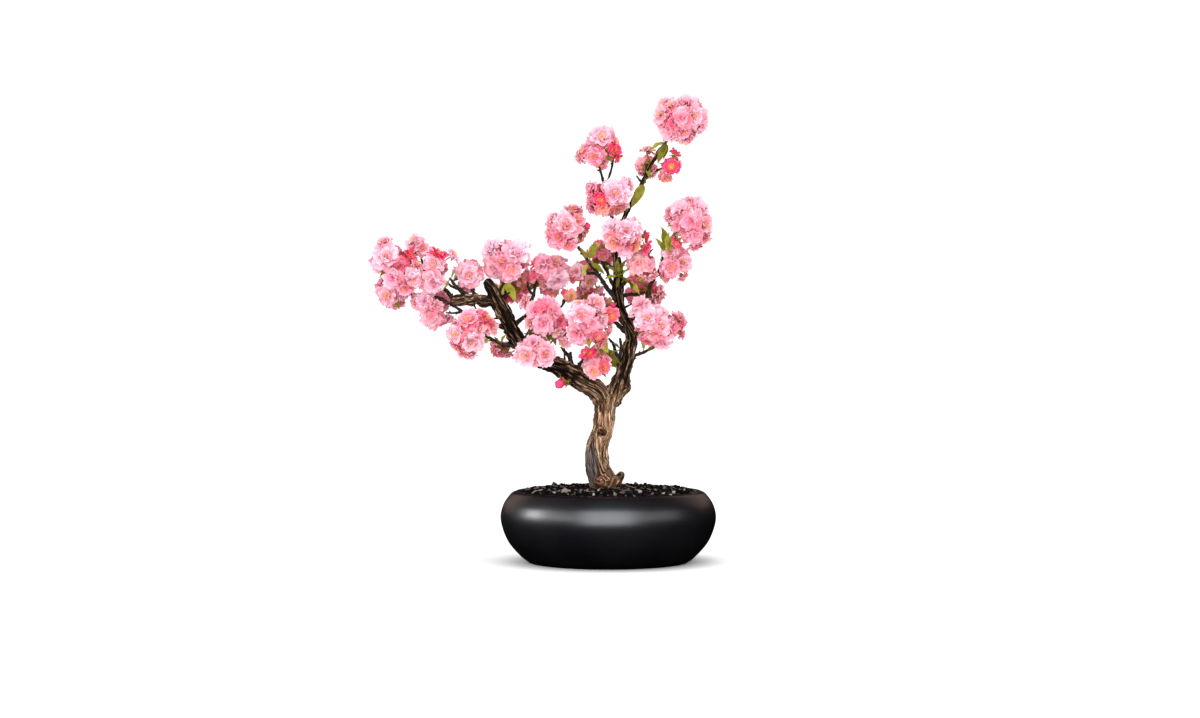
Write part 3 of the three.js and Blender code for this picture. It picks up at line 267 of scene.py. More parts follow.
# Bunches: the knot that the stalks start from, how many flowers it bears on its back, the flowers that
# the viewer sees as (tone, across, forward, up, radius), and the buds in the same form. Across, forward
# and up lead from the knot to the flower's heart, and forward is towards the viewer.
BUNCHES = {
    "far_left_crown": ([-277, -8, 382], 1, [
        ("pale", -3, 24, 8, 16), ("blush", -9, 8, 25, 12), ("rose", -16, 6, 0, 13),
        ("deep", 13, 20, -6, 11), ("hot", 25, 12, 8, 11),
    ], []),
    "far_left_middle": ([-258, -22, 368], 1, [
        ("rose", -15, 18, -7, 12), ("rose", 0, 14, -20, 12), ("pale", 12, 16, -10, 12),
        ("rose", 15, 2, 12, 9),
    ], []),
    "left_spur": ([-224, -14, 371], 1, [
        ("blush", 0, 20, -15, 16), ("pale", 3, 16, 10, 13), ("hot", 9, 14, 24, 12),
        ("pale", 28, 6, 21, 9), ("pale", -14, 10, -12, 11),
    ], []),
    "loose_left": ([-241, 4, 398], 0, [("pale", -8, 12, 12, 12), ("blush", 5, 10, 2, 9)], []),
    "far_left_foot": ([-277, 0, 345], 1, [
        ("rose", -13, -6, 12, 13), ("blush", -5, 16, -4, 14), ("rose", 6, -3, -17, 12),
        ("rose", -12, 2, -9, 10), ("blush", 16, 6, -6, 11),
    ], []),
    "hanging_left": ([-226, 8, 325], 1, [
        ("pale", -9, 24, 10, 13), ("dusky_and_shaded", 2, 22, -13, 14), ("dusky_and_shaded", 14, 2, -20, 10),
        ("blush", 8, 24, 3, 10), ("blush", -18, 14, 8, 10),
    ], [("dusky_and_shaded", 25, 0, -15, 4.5)]),
    "below_left": ([-173, -42, 291], 2, [
        ("rose", -3, 14, 18, 15), ("deep", 20, 6, 21, 12), ("salmon", 28, 2, 10, 11),
        ("pale", -19, 14, -1, 14), ("pale", 3, 20, -10, 15), ("blush", -5, 3, -27, 12),
        ("rose", -18, 6, -17, 11), ("salmon", 14, 12, 8, 8), ("blush", -22, 0, 9, 10),
    ], []),
    "under_bend": ([-137, 16, 275], 0, [
        ("dusky_and_shaded", -3, -8, -7, 13), ("dusky_and_shaded", -11, 2, -2, 9), ("dusky_and_shaded", 8, -2, -12, 8),
    ], []),
    "front_bend": ([-91, -44, 269], 1, [
        ("pale", -14, 18, -6, 16), ("rose", -4, 10, 12, 11), ("blush", 12, 18, -4, 14),
        ("blush", -22, 4, 4, 9),
    ], []),
    "over_spur": ([-180, 4, 367], 1, [
        ("pale", 3, 18, -2, 16), ("rose", -10, 0, 9, 12), ("dusky_and_shaded", 0, 6, -18, 11),
        ("rose", 14, 4, 6, 10),
    ], []),
    "left_crown": ([-134, 8, 385], 3, [
        ("pale", -19, 10, 14, 14), ("blush", -13, 18, -11, 15), ("pale", 17, 20, 10, 18),
        ("blush", 11, 22, -14, 15), ("blush", 8, -2, 22, 11), ("rose", -2, 22, 0, 9),
        ("rose", 30, 6, -2, 10),
    ], []),
    "mid_crown": ([-76, 20, 368], 2, [
        ("rose", -9, 16, 14, 13), ("deep", -19, 4, 16, 9), ("blush", 10, 14, 16, 14),
        ("pale", 11, 20, -10, 15), ("dusky_and_shaded", -8, 10, -13, 12), ("salmon", -30, 4, -4, 10),
        ("rose", 4, 4, -26, 10), ("blush", 16, -4, 20, 10), ("deep", -22, 12, -2, 8),
    ], [("rose", -40, 4, -12, 4)]),
    "mid_left": ([-80, -24, 314], 2, [
        ("rose", -3, 24, -9, 14), ("deep", -3, 20, 10, 13), ("rose", -15, 14, 6, 11),
        ("rose", 14, 20, 5, 12), ("deep", 20, 14, -8, 11), ("blush", -19, 8, -8, 11),
        ("rose", 3, 8, 18, 11), ("pale", 15, 12, -22, 11), ("dusky_and_shaded", -27, 0, 20, 10),
    ], []),
    "mid_right": ([-28, -32, 307], 2, [
        ("pale", -6, 26, 8, 17), ("blush", 13, 10, 23, 13), ("rose", 6, 24, -5, 12),
        ("rose", -11, 18, -18, 14), ("blush", 21, 10, -1, 10), ("deep", 15, 14, -19, 10),
        ("salmon", 21, 6, -30, 10), ("pale", -30, 4, -28, 9), ("salmon", 30, 2, -13, 8),
        ("pale", -10, 10, 22, 11),
    ], []),
    "upper_left": ([-54, -4, 425], 3, [
        ("blush", 0, 24, 3, 17), ("pale", 8, 4, 27, 14), ("blush", -21, 8, -6, 12),
        ("rose", -10, 18, -13, 14), ("rose", 14, 12, 12, 12), ("rose", 3, 12, -20, 11),
        ("blush", -18, 6, 15, 10), ("dusky_and_shaded", 24, 2, -4, 7),
    ], [("hot", 28, 4, 4, 4)]),
    "back_spur": ([-30, 26, 367], 1, [
        ("pale", -13, 10, 5, 12), ("dusky_and_shaded", 6, 4, -9, 10), ("deep", -16, 8, -4, 6),
        ("dusky_and_shaded", 19, 0, -20, 7),
    ], []),
    "top_left": ([-11, 4, 532], 1, [
        ("pale", 3, 10, 12, 18), ("rose", -8, 16, -14, 13), ("hot", 18, 8, -5, 12),
        ("blush", -20, 4, -5, 12), ("blush", -29, 0, -15, 9), ("hot", 23, 2, -15, 8),
        ("rose", 2, 6, -24, 9), ("blush", 21, 2, 6, 9),
    ], []),
    "upper_middle": ([0, -8, 466], 2, [
        ("pale", 9, 20, 5, 17), ("hot", -10, 16, -5, 11), ("rose", -23, 4, 8, 13),
        ("peach", -7, 14, -17, 10), ("salmon", 12, 10, -17, 13), ("blush", 27, 0, 16, 11),
        ("rose", -23, 4, -13, 12),
    ], []),
    "crown_middle": ([19, -24, 414], 1, [
        ("pale", 5, 24, 8, 16), ("pale", -16, 12, 15, 13), ("salmon", -12, 18, -8, 13),
        ("rose", 6, 16, -14, 12), ("peach", 16, 18, -12, 10), ("hot", 28, 6, -14, 10),
        ("hot", 29, 0, 0, 8), ("blush", 15, 4, 19, 10),
    ], []),
    "crown_low": ([44, 2, 378], 1, [
        ("salmon", -7, 16, 3, 13), ("dusky_and_shaded", 9, 4, 1, 9), ("deep", -12, 4, -18, 8),
        ("dusky_and_shaded", 15, 2, -14, 7), ("salmon", -3, 6, -17, 7),
    ], []),
    "crown_back": ([-9, 36, 393], 1, [
        ("dusky_and_shaded", -4, 6, 11, 10), ("deep", 3, 12, -1, 7), ("dusky_and_shaded", -18, 0, 2, 7),
        ("deep", 6, 4, 14, 6),
    ], []),
    "right_ball": ([105, 0, 436], 3, [
        ("pale", -12, 14, 17, 17), ("pale", 13, 10, 17, 16), ("rose", -2, 26, -3, 15),
        ("blush", 20, 12, -7, 14), ("rose", 4, 18, -20, 14), ("dusky_and_shaded", 17, 4, -25, 11),
        ("dusky_and_shaded", -27, -2, 8, 12), ("hot", -18, 15, -28, 9), ("rose", -17, 12, -8, 10),
        ("dusky_and_shaded", 8, 0, -34, 10), ("blush", 0, 0, 27, 10),
    ], []),
    "right_side": ([85, 14, 382], 1, [
        ("pale", -6, 12, 15, 12), ("rose", -4, 18, -6, 13), ("blush", 10, 10, 2, 11),
        ("dusky_and_shaded", 12, 2, -19, 8), ("dusky_and_shaded", -14, 4, -19, 8),
    ], []),
    "right_low": ([61, -14, 304], 2, [
        ("pale", -11, 22, 7, 16), ("blush", -24, 8, 25, 14), ("blush", 3, 6, 16, 11),
        ("blush", 6, 20, -3, 12), ("salmon", -4, 16, -15, 12), ("deep", -13, 8, -22, 10),
        ("blush", 6, 12, -26, 11), ("rose", 23, 4, -5, 13), ("blush", 33, -2, 5, 12),
        ("rose", 34, -4, -13, 8),
    ], []),
    "tip_ball": ([93, 0, 568], 3, [
        ("pale", -27, 16, 2, 15), ("blush", -23, 6, 16, 13), ("blush", 8, 12, 18, 15),
        ("rose", 0, 28, -3, 13), ("pale", 17, 20, 1, 15), ("blush", 28, 4, -8, 13),
        ("deep", -13, 22, -8, 11), ("blush", -16, 12, -22, 13), ("dusky_and_shaded", 11, -2, -26, 11),
        ("blush", -13, 16, 14, 10), ("rose", 4, 14, -19, 11), ("blush", 23, 4, 11, 12),
    ], []),
    "tip_back": ([50, 8, 511], 0, [
        ("dusky_and_shaded", -3, -12, -5, 13), ("blush", 2, -4, 19, 9), ("dusky_and_shaded", 9, -4, -16, 8),
        ("dusky_and_shaded", -9, -4, -14, 8),
    ], []),
    "tip_side": ([77, 14, 506], 0, [
        ("hot", 5, 8, 1, 11), ("salmon", -3, 4, -15, 10), ("hot", 9, -2, 18, 8),
        ("blush", 14, -2, 6, 8),
    ], []),
    "mid_back": ([-53, 6, 338], 0, [("peach", 6, 6, 0, 8)], [("hot", -4, 4, 7, 4.5)]),
    "crotch": ([-19, -30, 254], 1, [
        ("hot", -9, 12, 12, 10), ("blush", 0, 8, 3, 10), ("salmon", 1, 14, -10, 10),
        ("fiery", 14, 10, -6, 9), ("salmon", 6, 2, 12, 9),
    ], []),
    "right_bud": ([5, -18, 322], 0, [
        ("fiery", -1, 12, -9, 10), ("hot", -5, 6, -17, 6),
    ], [("hot", 0, 4, 6, 4)]),
    "low_bud": ([-55, -24, 231], 0, [], [("hot", -8, 3, -3, 6)]),
    "back_heart": ([-20, 45, 334], 3, [("salmon", -17, -4, 10, 15)], []),
    "back_left": ([-125, 43, 357], 3, [("rose", -17, -4, -10, 15)], []),
    "back_right": ([48, 46, 347], 3, [("salmon", 17, -2, -10, 15)], []),
}
# Flowers on the back of a bunch: azimuth and elevation, distance from the knot, and radius. They take the
# shaded tone, which paints shade on them.
BACK = [[170, 20], [-130, -35], [125, -30]]
BACK_REACH = 19
BACK_RADIUS = 15.5
# How near to its knot a twig's end has to be for the twig to reach it.
KNOT_REACH = 9.6

# Tones of the petals, as shares of hot pink, of peach and of near white, and a share of painted shade that
# dulls the flower, as on the flowers that sit in shade and those on the back of a bunch.
TONES = {
    "pale": (0.0, 0.05, 0.95, 0.0), "blush": (0.0, 0.1, 0.5, 0.03), "rose": (0.12, 0.05, 0.15, 0.05),
    "deep": (0.5, 0.15, 0.0, 0.05), "hot": (1.0, 0.0, 0.0, 0.0), "fiery": (0.75, 0.6, 0.0, 0.0),
    "peach": (0.05, 0.9, 0.2, 0.0), "salmon": (0.1, 0.4, 0.25, 0.0), "dusky_and_shaded": (0.05, 0.2, 0.6, 0.2),
    "shaded": (0.2, 0.1, 0.2, 0.35),
}
# Where hot pink begins, and the tones that seldom show their stamens.
HOT = 0.7
PLAIN_TONES = ("rose", "dusky_and_shaded", "deep")

# How much more a flower turns to the viewer than its stalk does, and how much it turns aside.
FACING = 1.3
FACING_LEAN = 4
TURNED_ASIDE = 0.32

# Rings of petals, as the count, length and width in shares of the flower's radius, the rise of the
# petals at their foot and how much it changes to the tip in degrees, and the rows and columns of the mesh.
# Flowers under SMALL_RADIUS have fewer rings, and hot pink ones are open cups.
RINGS = [
    (8, 1.22, 1.02, 0, -28, 4, 8),
    (7, 1.10, 0.96, 20, -32, 4, 6),
    (6, 0.92, 0.88, 40, -36, 3, 6),
    (5, 0.64, 0.74, 58, -30, 3, 6),
]
SMALL_RINGS = [
    (7, 1.20, 1.04, 4, -28, 4, 6),
    (5, 1.02, 1.02, 30, -36, 3, 6),
    (4, 0.68, 0.84, 54, -28, 3, 4),
]
CUP_RINGS = [
    (7, 1.20, 1.04, 2, -20, 4, 6),
    (5, 1.08, 1.02, 30, -24, 4, 6),
]
SMALL_RADIUS = 10.5
FULLNESS = 1.1
# How far from the heart's colour to the rim's the petals of each ring go, the inner rings staying
# deeper as painted shade inside the flower, and where they start in flowers without stamens.
HEARTWARD = [1.0, 1.0, 0.90, 0.72]
HEART = 0.36
# Petals: thickness and steepest rise, and in shares of the petal's size the depth and width of the notch,
# the frill and slant of the edge, the waves and crimps towards it, and the cupping.
PETAL_THICKNESS = 0.42
STEEPEST = 84
NOTCH = (0.02, 0.16)
NOTCH_WIDTH = 0.2
FRILL = 0.035
SLANT = 0.12
WAVE = (0.08, 0.19)
CRIMP = 0.07
CUPPING = (-0.03, 0.12)
# Where flowers press on each other: how far petals still give, and how wide the rim of painted shade is
# where they are crowded.
GIVE = 2.5
CROWDED_RIM = 0.35
# Buds: how many petals wrap them, and how long and wide those are in shares of the radius.
BUD_PETALS = 7
BUD_PETAL_LENGTH = 2.0
BUD_PETAL_WIDTH = 1.75
# Counts of stamens, sepals and bracts, and sizes of the green parts. The cup is [radius, height].
STAMENS = 11
SEPALS = 5
SEPAL_THICKNESS = 0.5
BRACTS = 7
CALYX_CUP = [[0, -6.5], [0.9, -6.0], [1.9, -4.0], [2.5, -1.6], [2.2, 0], [0, 0.4]]
STALK_RADII = [1.0, 0.75, 0.75, 0.95]
KNOT_SIZE = [3.1, 3.1, 3.6]
BLOSSOM_NODES = ["blossom_" + name for name in BUNCHES]

# Leaves: a point on the wood, and each leaf as (across, forward, up) from there to its tip.
TUFTS = {
    "upper_left_leaves": ([-25, -3, 384], [(20, 6, -17), (9, 6, 26), (-8, 6, -20), (-12, 2, 18)]),
    "inner_star": ([14, -3, 366], [
        (-18, 8, 12), (-3, 8, 21), (20, 8, 9), (-19, 8, -5), (14, 8, -12), (-4, 8, -17), (9, 8, 20),
    ]),
    "crown_leaves": ([26, 4, 361], [(-9, 8, -4), (10, 10, 6), (22, 10, -4), (14, 10, -19), (4, 12, -14)]),
    "tip_leaves": ([47, 3, 486], [(-18, 12, -34), (9, -8, 20)]),
    "top_leaves": ([75, 0, 538], [(-12, 10, -30), (-5, 10, -24), (22, 8, 10), (-22, 8, -14)]),
    "crook_leaves": ([-133, -4, 360], [(-10, 10, -25), (15, 10, -28), (5, 8, 6)]),
    "bend_leaves": ([-77, -18, 276], [(-18, 8, 12), (5, 8, 16), (14, 4, 10), (-30, 6, 16)]),
    "below_leaves": ([-137, -26, 278], [(-8, 8, 9), (8, 8, 12), (-16, 6, 4)]),
    "inner_leaves": ([15, 6, 246], [(-14, 10, 22), (-26, 8, 30), (-16, 12, 4)]),
    "spur_leaves": ([16, 0, 272], [(-11, 10, 8), (12, 10, 12), (-14, 6, -8)]),
    "low_right_leaves": ([46, 1, 268], [(-5, 8, 20), (17, 8, 7)]),
    "side_leaves": ([-201, -22, 361], [(-8, 8, -14), (9, 8, 10)]),
    "ball_leaves": ([74, 6, 394], [(-6, 12, 34), (4, 12, 28), (-14, 8, 20), (12, 12, 26)]),
    "back_leaves": ([-4, 25, 379], [(-12, -18, 12), (14, -20, -4)]),
}
# Leaves that peep out from under the flowers, as the bunch and its leaves in the same form.
UNDER_FLOWERS = [
    ("top_left", [(6, 6, -24), (16, 8, -22)]), ("upper_left", [(18, 6, -16), (8, 4, -24)]),
    ("mid_left", [(-8, 8, -32), (4, 8, -34), (14, 8, -38), (-22, 6, -26)]),
    ("mid_right", [(4, 8, -34), (20, 6, -44), (28, 4, -40)]), ("crotch", [(16, 8, -18), (-14, 6, -14)]),
    ("crown_back", [(-14, 10, -20), (8, 12, -24), (0, 14, 18), (-12, 12, 6)]),
    ("crown_low", [(8, 8, 16), (14, 8, 22), (-14, 6, -14)]),
    ("back_spur", [(10, 8, -12), (-8, 6, -16)]), ("right_ball", [(-24, 10, -20), (-30, 8, -8)]),
    ("tip_ball", [(6, 8, -28), (-6, 8, -32)]), ("tip_side", [(-12, 8, 4)]),
    ("tip_back", [(4, 10, -22)]), ("left_spur", [(-10, 6, -26), (20, 4, 2)]),
    ("far_left_crown", [(-14, 10, -20)]), ("far_left_foot", [(10, 8, -22), (-10, 8, 14)]),
    ("over_spur", [(-20, 8, -10)]), ("left_crown", [(-4, 8, -26), (10, 8, -24)]),
    ("mid_crown", [(-26, 8, -22), (12, 6, -26)]), ("under_bend", [(-4, 8, 4)]),
    ("below_left", [(24, 8, -10)]), ("right_low", [(-24, 6, -16)]), ("right_bud", [(-8, 6, 14)]),
    ("low_bud", [(8, 4, 2)]), ("right_side", [(-14, 8, 8)]), ("upper_middle", [(-6, 8, 18)]),
    ("crown_middle", [(18, 6, -22)]), ("back_left", [(-12, -20, 10), (10, -18, -16)]),
    ("back_right", [(14, -18, 12)]), ("back_heart", [(-6, -22, -12), (12, -20, 10)]),
    ("right_low", [(10, -22, 8)]), ("tip_ball", [(-8, -24, -10)]), ("upper_left", [(-6, -24, -8)]),
    ("left_crown", [(6, -26, -12)]),
]
# The knob of a tuft, the leaf's stalk, the width of its blade in shares of the length, its thickness and
# teeth, and how much it is sawn, rolled, folded, arched and rippled.
TUFT_KNOB = 1.9
LEAF_STALK = 4
LEAF_WIDENESS = (0.31, 0.43)
LEAF_THICKNESS = 0.55
LEAF_TEETH = 9
LEAF_SAW = 0.16
LEAF_ROLL = 0.5
LEAF_FOLD = 0.5
LEAF_ARCH = 0.3
LEAF_RIPPLE = 0.07

# Lamps in metres and watts, as the name, place, size, power and colour. The tree's lamps leave out the
# bowl, and the bowl's lamps light nothing else.
SOFT = (0.97, 0.98, 1.0)
COOL = (0.92, 0.94, 1.0)
TREE_AIM = (0, 0, 0.3)
TREE_LAMPS = [
    ("front", (-0.4, -2.9, 0.75), (2.2, 1.0), 28, SOFT),
    ("top", (-0.1, -0.4, 2.6), (1.6, 1.6), 18, SOFT),
]
BOWL_AIM = (0, 0, 0.07)
BOWL_LAMPS = [
    ("band", (-0.05, -2.4, 0.96), (2.6, 2.2), 236, COOL),
    ("shoulder_right", (1.3, 1.5, 1.2), (1.6, 1.4), 5.5, (1.0, 0.74, 0.64)),
    ("shoulder_left", (-1.4, 1.6, 0.9), (1.2, 1.2), 4, (1.0, 0.70, 0.58)),
    ("band_left", (-2.0, -1.1, 0.88), (2.0, 0.8), 42, SOFT),
    ("band_right", (1.9, -1.3, 0.98), (2.0, 0.9), 26, SOFT),
    ("spot", (-2.3, -0.1, 0.78), (0.5, 0.4), 46, SOFT),
]
WORLD_LIGHT = 1.2
FLOOR_HALF = 14

# Camera in metres, with its lens and sensor in millimetres.
CAMERA_PLACE = (-0.0106, -2.6, 0.2593)
LENS = 60.94
SENSOR = 36
FARTHEST = 60


# Numbers that look random and are the same every time

def chance(seed):
    """A number from 0 to 1 for each seed."""
    wave = np.sin(np.asarray(seed, float) * 12.9898 + 4.137) * 43758.5453
    return wave - np.floor(wave)


def between(low, high, seed):
    """A number from low to high for each seed."""
    return low + (high - low) * chance(seed)


def lattice(cells, seed):
    """A number from -1 to 1 for each whole-numbered cell."""
    x, y, z = (cells[..., k].astype(np.int64) for k in range(3))
    mixed = (x * 374761393 + y * 668265263 + z * 1440662683 + seed * 1274126177) & 0xFFFFFFFF
    mixed = ((mixed ^ (mixed >> 13)) * 1274126177) & 0xFFFFFFFF
    return ((mixed ^ (mixed >> 16)) & 0xFFFFFF) / 0x7FFFFF - 1


def smooth_noise(points, seed=0):
    """Smooth noise from -1 to 1 at each point, with features one unit wide."""
    cell = np.floor(points)
    part = points - cell
    part = part * part * (3 - 2 * part)
    total = np.zeros(points.shape[:-1])
    for corner in np.ndindex(2, 2, 2):
        weight = np.prod(np.where(np.array(corner) == 1, part, 1 - part), axis=-1)
        total += weight * lattice(cell + np.array(corner), seed)
    return total


# Curves and directions

def spline(points, places, flat_ends=False):
    """Catmull-Rom curve through points, at places from 0 to 1 along the list."""
    points = np.asarray(points, float)
    framed = np.vstack([2 * points[0] - points[1], points, 2 * points[-1] - points[-2]])
    if flat_ends:
        framed[[0, -1]] = points[[0, -1]]
    place = np.clip(places, 0, 1) * (len(points) - 1)
    first = np.minimum(place.astype(int), len(points) - 2)
    t = (place - first)[:, None]
    before, start, end, after = (framed[first + k] for k in range(4))
    leave, arrive = (end - before) / 2, (after - start) / 2
    cubic = 2 * start - 2 * end + leave + arrive
    square = 3 * end - 3 * start - 2 * leave - arrive
    return ((cubic * t + square) * t + leave) * t + start


def evenly(route, step):
    """Places about a step apart on a route's curve, the radius at each, and how far along each lies."""
    fine = spline(route, np.linspace(0, 1, 40 * len(route)))
    arc = np.concatenate([[0], np.cumsum(np.linalg.norm(np.diff(fine[:, :3], axis=0), axis=1))])
    count = max(3, int(round(arc[-1] / step)) + 1)
    wanted = np.linspace(0, arc[-1], count)
    line = np.stack([np.interp(wanted, arc, column) for column in fine.T], axis=1)
    return line[:, :3], line[:, 3], wanted


def unit(vectors):
    """The vectors brought to length one."""
    return vectors / np.maximum(np.linalg.norm(vectors, axis=-1, keepdims=True), 1e-9)


def frames_along(path):
    """Tangents, and two directions across that don't spin about them."""
    tangents = unit(np.gradient(path, axis=0))
    across = np.zeros_like(path)
    side = np.cross(tangents[0], [0, 1, 0])
    if np.linalg.norm(side) < 0.1:
        side = np.cross(tangents[0], [1, 0, 0])
    for k, tangent in enumerate(tangents):
        side = side - tangent * (side @ tangent)
        side = side / np.linalg.norm(side)
        across[k] = side
    return tangents, across, np.cross(tangents, across)


def direction(azimuth, elevation):
    """Unit vector from degrees: azimuth 0 is towards the viewer and 90 to the viewer's right."""
    turn, rise = math.radians(azimuth), math.radians(elevation)
    return np.array([math.sin(turn) * math.cos(rise), -math.cos(turn) * math.cos(rise), math.sin(rise)])


def spin(turn):
    """Rotation about +Z."""
    cos, sin = math.cos(turn), math.sin(turn)
    return np.array([[cos, -sin, 0], [sin, cos, 0], [0, 0, 1]])


def spun(angles):
    """Rotation matrix from turns about X, Y and Z."""
    (a, b, c), (d, e, f) = np.cos(angles), np.sin(angles)
    about_x = np.array([[1, 0, 0], [0, a, -d], [0, d, a]])
    about_y = np.array([[b, 0, e], [0, 1, 0], [-e, 0, b]])
    about_z = np.array([[c, -f, 0], [f, c, 0], [0, 0, 1]])
    return about_z @ about_y @ about_x


def pose_of(way, about=0.0):
    """Rotation that takes +Z to the way, by the shortest turn, after a spin about +Z."""
    turn = Vector((0, 0, 1)).rotation_difference(Vector(way)).to_matrix()
    return np.array(turn) @ spin(about)


# Meshes

class Heap:
    """Parts that end up in one mesh, each with its own values at its points."""

    def __init__(self):
        self.points, self.quads, self.triangles, self.rims = [], [], [], []
        self.values = {}
        self.count = 0

    def add(self, points, faces, rim=False, **values):
        """Adds points and the faces on them, with one value, or vector, for each or for all."""
        points = np.asarray(points, float)
        self.rims.append(np.broadcast_to(rim, (len(points),)))
        for corners in faces:
            corners = np.asarray(corners, int) + self.count
            (self.quads if corners.shape[1] == 4 else self.triangles).append(corners)
        for name, value in values.items():
            value = np.asarray(value, float)
            if value.ndim < 2:
                value = np.broadcast_to(value, (len(points),))
            self.values.setdefault(name, []).append(value)
        self.points.append(points)
        self.count += len(points)

    def add_sheet(self, points, rows, columns, **values):
        """Adds a thin closed sheet, and notes which of its points lie on the rim."""
        self.add(points, [sheet(rows, columns)], rim=rim_of(rows, columns), **values)

    def mesh(self, name, smooth=True):
        mesh = bpy.data.meshes.new(name)
        faces = [np.vstack(kind) for kind in (self.quads, self.triangles) if kind]
        sizes = np.concatenate([np.full(len(kind), kind.shape[1]) for kind in faces])
        corners = np.concatenate([kind.ravel() for kind in faces]).astype(np.int32)
        starts = np.concatenate([[0], np.cumsum(sizes)[:-1]]).astype(np.int32)
        points = (np.vstack(self.points) * MM).astype(np.float32)
        mesh.vertices.add(len(points))
        mesh.vertices.foreach_set("co", points.ravel())
        mesh.loops.add(len(corners))
        mesh.loops.foreach_set("vertex_index", corners)
        mesh.polygons.add(len(sizes))
        mesh.polygons.foreach_set("loop_start", starts)
        mesh.update(calc_edges=True)
        mesh.polygons.foreach_set("use_smooth", np.full(len(sizes), smooth))
        rims = np.concatenate(self.rims)
        if rims.any():
            ends = np.empty(len(mesh.edges) * 2, np.int32)
            mesh.edges.foreach_get("vertices", ends)
            sharp = mesh.attributes.new("sharp_edge", "BOOLEAN", "EDGE")
            sharp.data.foreach_set("value", rims[ends.reshape(-1, 2)].all(axis=1))
        for value_name, parts in self.values.items():
            write_values(mesh, value_name, np.concatenate(parts))
        mesh.validate()
        return mesh


def write_values(mesh, name, values):
    """Puts a number, or a vector, at each point of the mesh for its material to read."""
    kind, field = ("FLOAT", "value") if values.ndim == 1 else ("FLOAT_VECTOR", "vector")
    layer = mesh.attributes.new(name, kind, "POINT")
    layer.data.foreach_set(field, values.astype(np.float32).ravel())


def read_vectors(items, name):
    """A vector of each of a mesh's items, one a row."""
    values = np.empty(len(items) * 3, np.float32)
    items.foreach_get(name, values)
    return values.reshape(-1, 3).astype(float)


def in_scene(name, data):
    """Adds an object to the scene."""
    made = bpy.data.objects.new(name, data)
    bpy.context.scene.collection.objects.link(made)
    return made


def piece(name, mesh, finish, stands_for):
    """Puts a finished mesh into the scene as a part of the plant."""
    made = in_scene(name, mesh)
    mesh.materials.clear()
    mesh.materials.append(finish)
    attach(made, "root")
    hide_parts(*stands_for)
    return made


def ring_faces(rings, sides):
    """Faces of a stack of rings of points, closed by the two tips that come after them."""
    grid = np.arange(rings * sides).reshape(rings, sides)
    following = np.roll(grid, -1, axis=1)
    quads = np.stack([grid[:-1], following[:-1], following[1:], grid[1:]], axis=-1).reshape(-1, 4)
    first, last = rings * sides, rings * sides + 1
    low = np.stack([np.full(sides, first), following[0], grid[0]], axis=-1)
    high = np.stack([np.full(sides, last), grid[-1], following[-1]], axis=-1)
    return [quads, np.vstack([low, high])]


def turned(profile, sides):
    """Solid of revolution from [radius, height] pairs that start and end on the axis."""
    profile = np.asarray(profile, float)
    angles = np.arange(sides) * TURN / sides
    rings = profile[1:-1]
    points = np.stack([
        np.outer(rings[:, 0], np.cos(angles)),
        np.outer(rings[:, 0], np.sin(angles)),
        np.repeat(rings[:, 1:], sides, axis=1),
    ], axis=-1).reshape(-1, 3)
    tips = [[0, 0, profile[0, 1]], [0, 0, profile[-1, 1]]]
    return np.vstack([points, tips]), ring_faces(len(rings), sides)


def tube(path, radii, sides):
    """Closed tube along a path, with blunt ends. Radii are one a point, or one a point and side."""
    tangents, across, up = frames_along(path)
    angles = np.arange(sides) * TURN / sides
    radii = np.asarray(radii, float)
    radii = radii[:, None] if radii.ndim == 1 else radii
    around = across[:, None] * np.cos(angles)[None, :, None] + up[:, None] * np.sin(angles)[None, :, None]
    points = (path[:, None] + around * radii[..., None]).reshape(-1, 3)
    tips = [path[0] - tangents[0] * radii[0].mean() * 0.5, path[-1] + tangents[-1] * radii[-1].mean() * 0.5]
    return np.vstack([points, tips]), ring_faces(len(path), sides)


def shares(rows, columns):
    """Shares along a sheet, from 0 to 1, and across it, from -1 to 1."""
    return np.linspace(0, 1, rows + 1)[:, None], np.linspace(-1, 1, columns + 1)[None]


def sheet(rows, columns):
    """Faces of a thin closed sheet: its upper grid, then the inner points of its lower one."""
    upper = np.arange((rows + 1) * (columns + 1)).reshape(rows + 1, columns + 1)
    lower = upper.copy()
    lower[1:-1, 1:-1] = upper.size + np.arange((rows - 1) * (columns - 1)).reshape(rows - 1, columns - 1)

    def quads(grid):
        corners = [grid[:-1, :-1], grid[1:, :-1], grid[1:, 1:], grid[:-1, 1:]]
        return np.stack(corners, axis=-1).reshape(-1, 4)

    return np.vstack([quads(upper), quads(lower)[:, ::-1]])


def thin(grid, normals, thickness):
    """Points of a thin closed sheet from its middle surface, in the order that sheet() names."""
    lift = normals * thickness / 2
    lift[[0, -1]] = 0
    lift[:, [0, -1]] = 0
    return np.vstack([(grid + lift).reshape(-1, 3), (grid - lift)[1:-1, 1:-1].reshape(-1, 3)])


def for_sheet(values):
    """Values, or vectors, of a sheet's grid, in the same order."""
    flat = values.shape[2:] or ()
    return np.concatenate([values.reshape(-1, *flat), values[1:-1, 1:-1].reshape(-1, *flat)])


def rim_of(rows, columns):
    """Which of a sheet's points lie on its rim."""
    rim = np.ones((rows + 1, columns + 1), bool)
    rim[1:-1, 1:-1] = False
    return for_sheet(rim)


def icosahedron():
    """Corners and faces of an icosahedron of radius one."""
    golden = (1 + math.sqrt(5)) / 2
    points = []
    for a, b in ((1, golden), (-1, golden), (1, -golden), (-1, -golden)):
        points += [(0, a, b), (a, b, 0), (b, 0, a)]
    points = unit(np.array(points))
    apart = np.linalg.norm(points[:, None] - points[None], axis=-1)
    near = (apart > 0.1) & (apart < 1.1)
    faces = []
    for a in range(12):
        for b in range(a + 1, 12):
            for c in range(b + 1, 12):
                if near[a, b] and near[b, c] and near[a, c]:
                    outward = np.dot(np.cross(points[b] - points[a], points[c] - points[a]), points[a]) > 0
                    faces.append((a, b, c) if outward else (a, c, b))
    return points, np.array(faces)


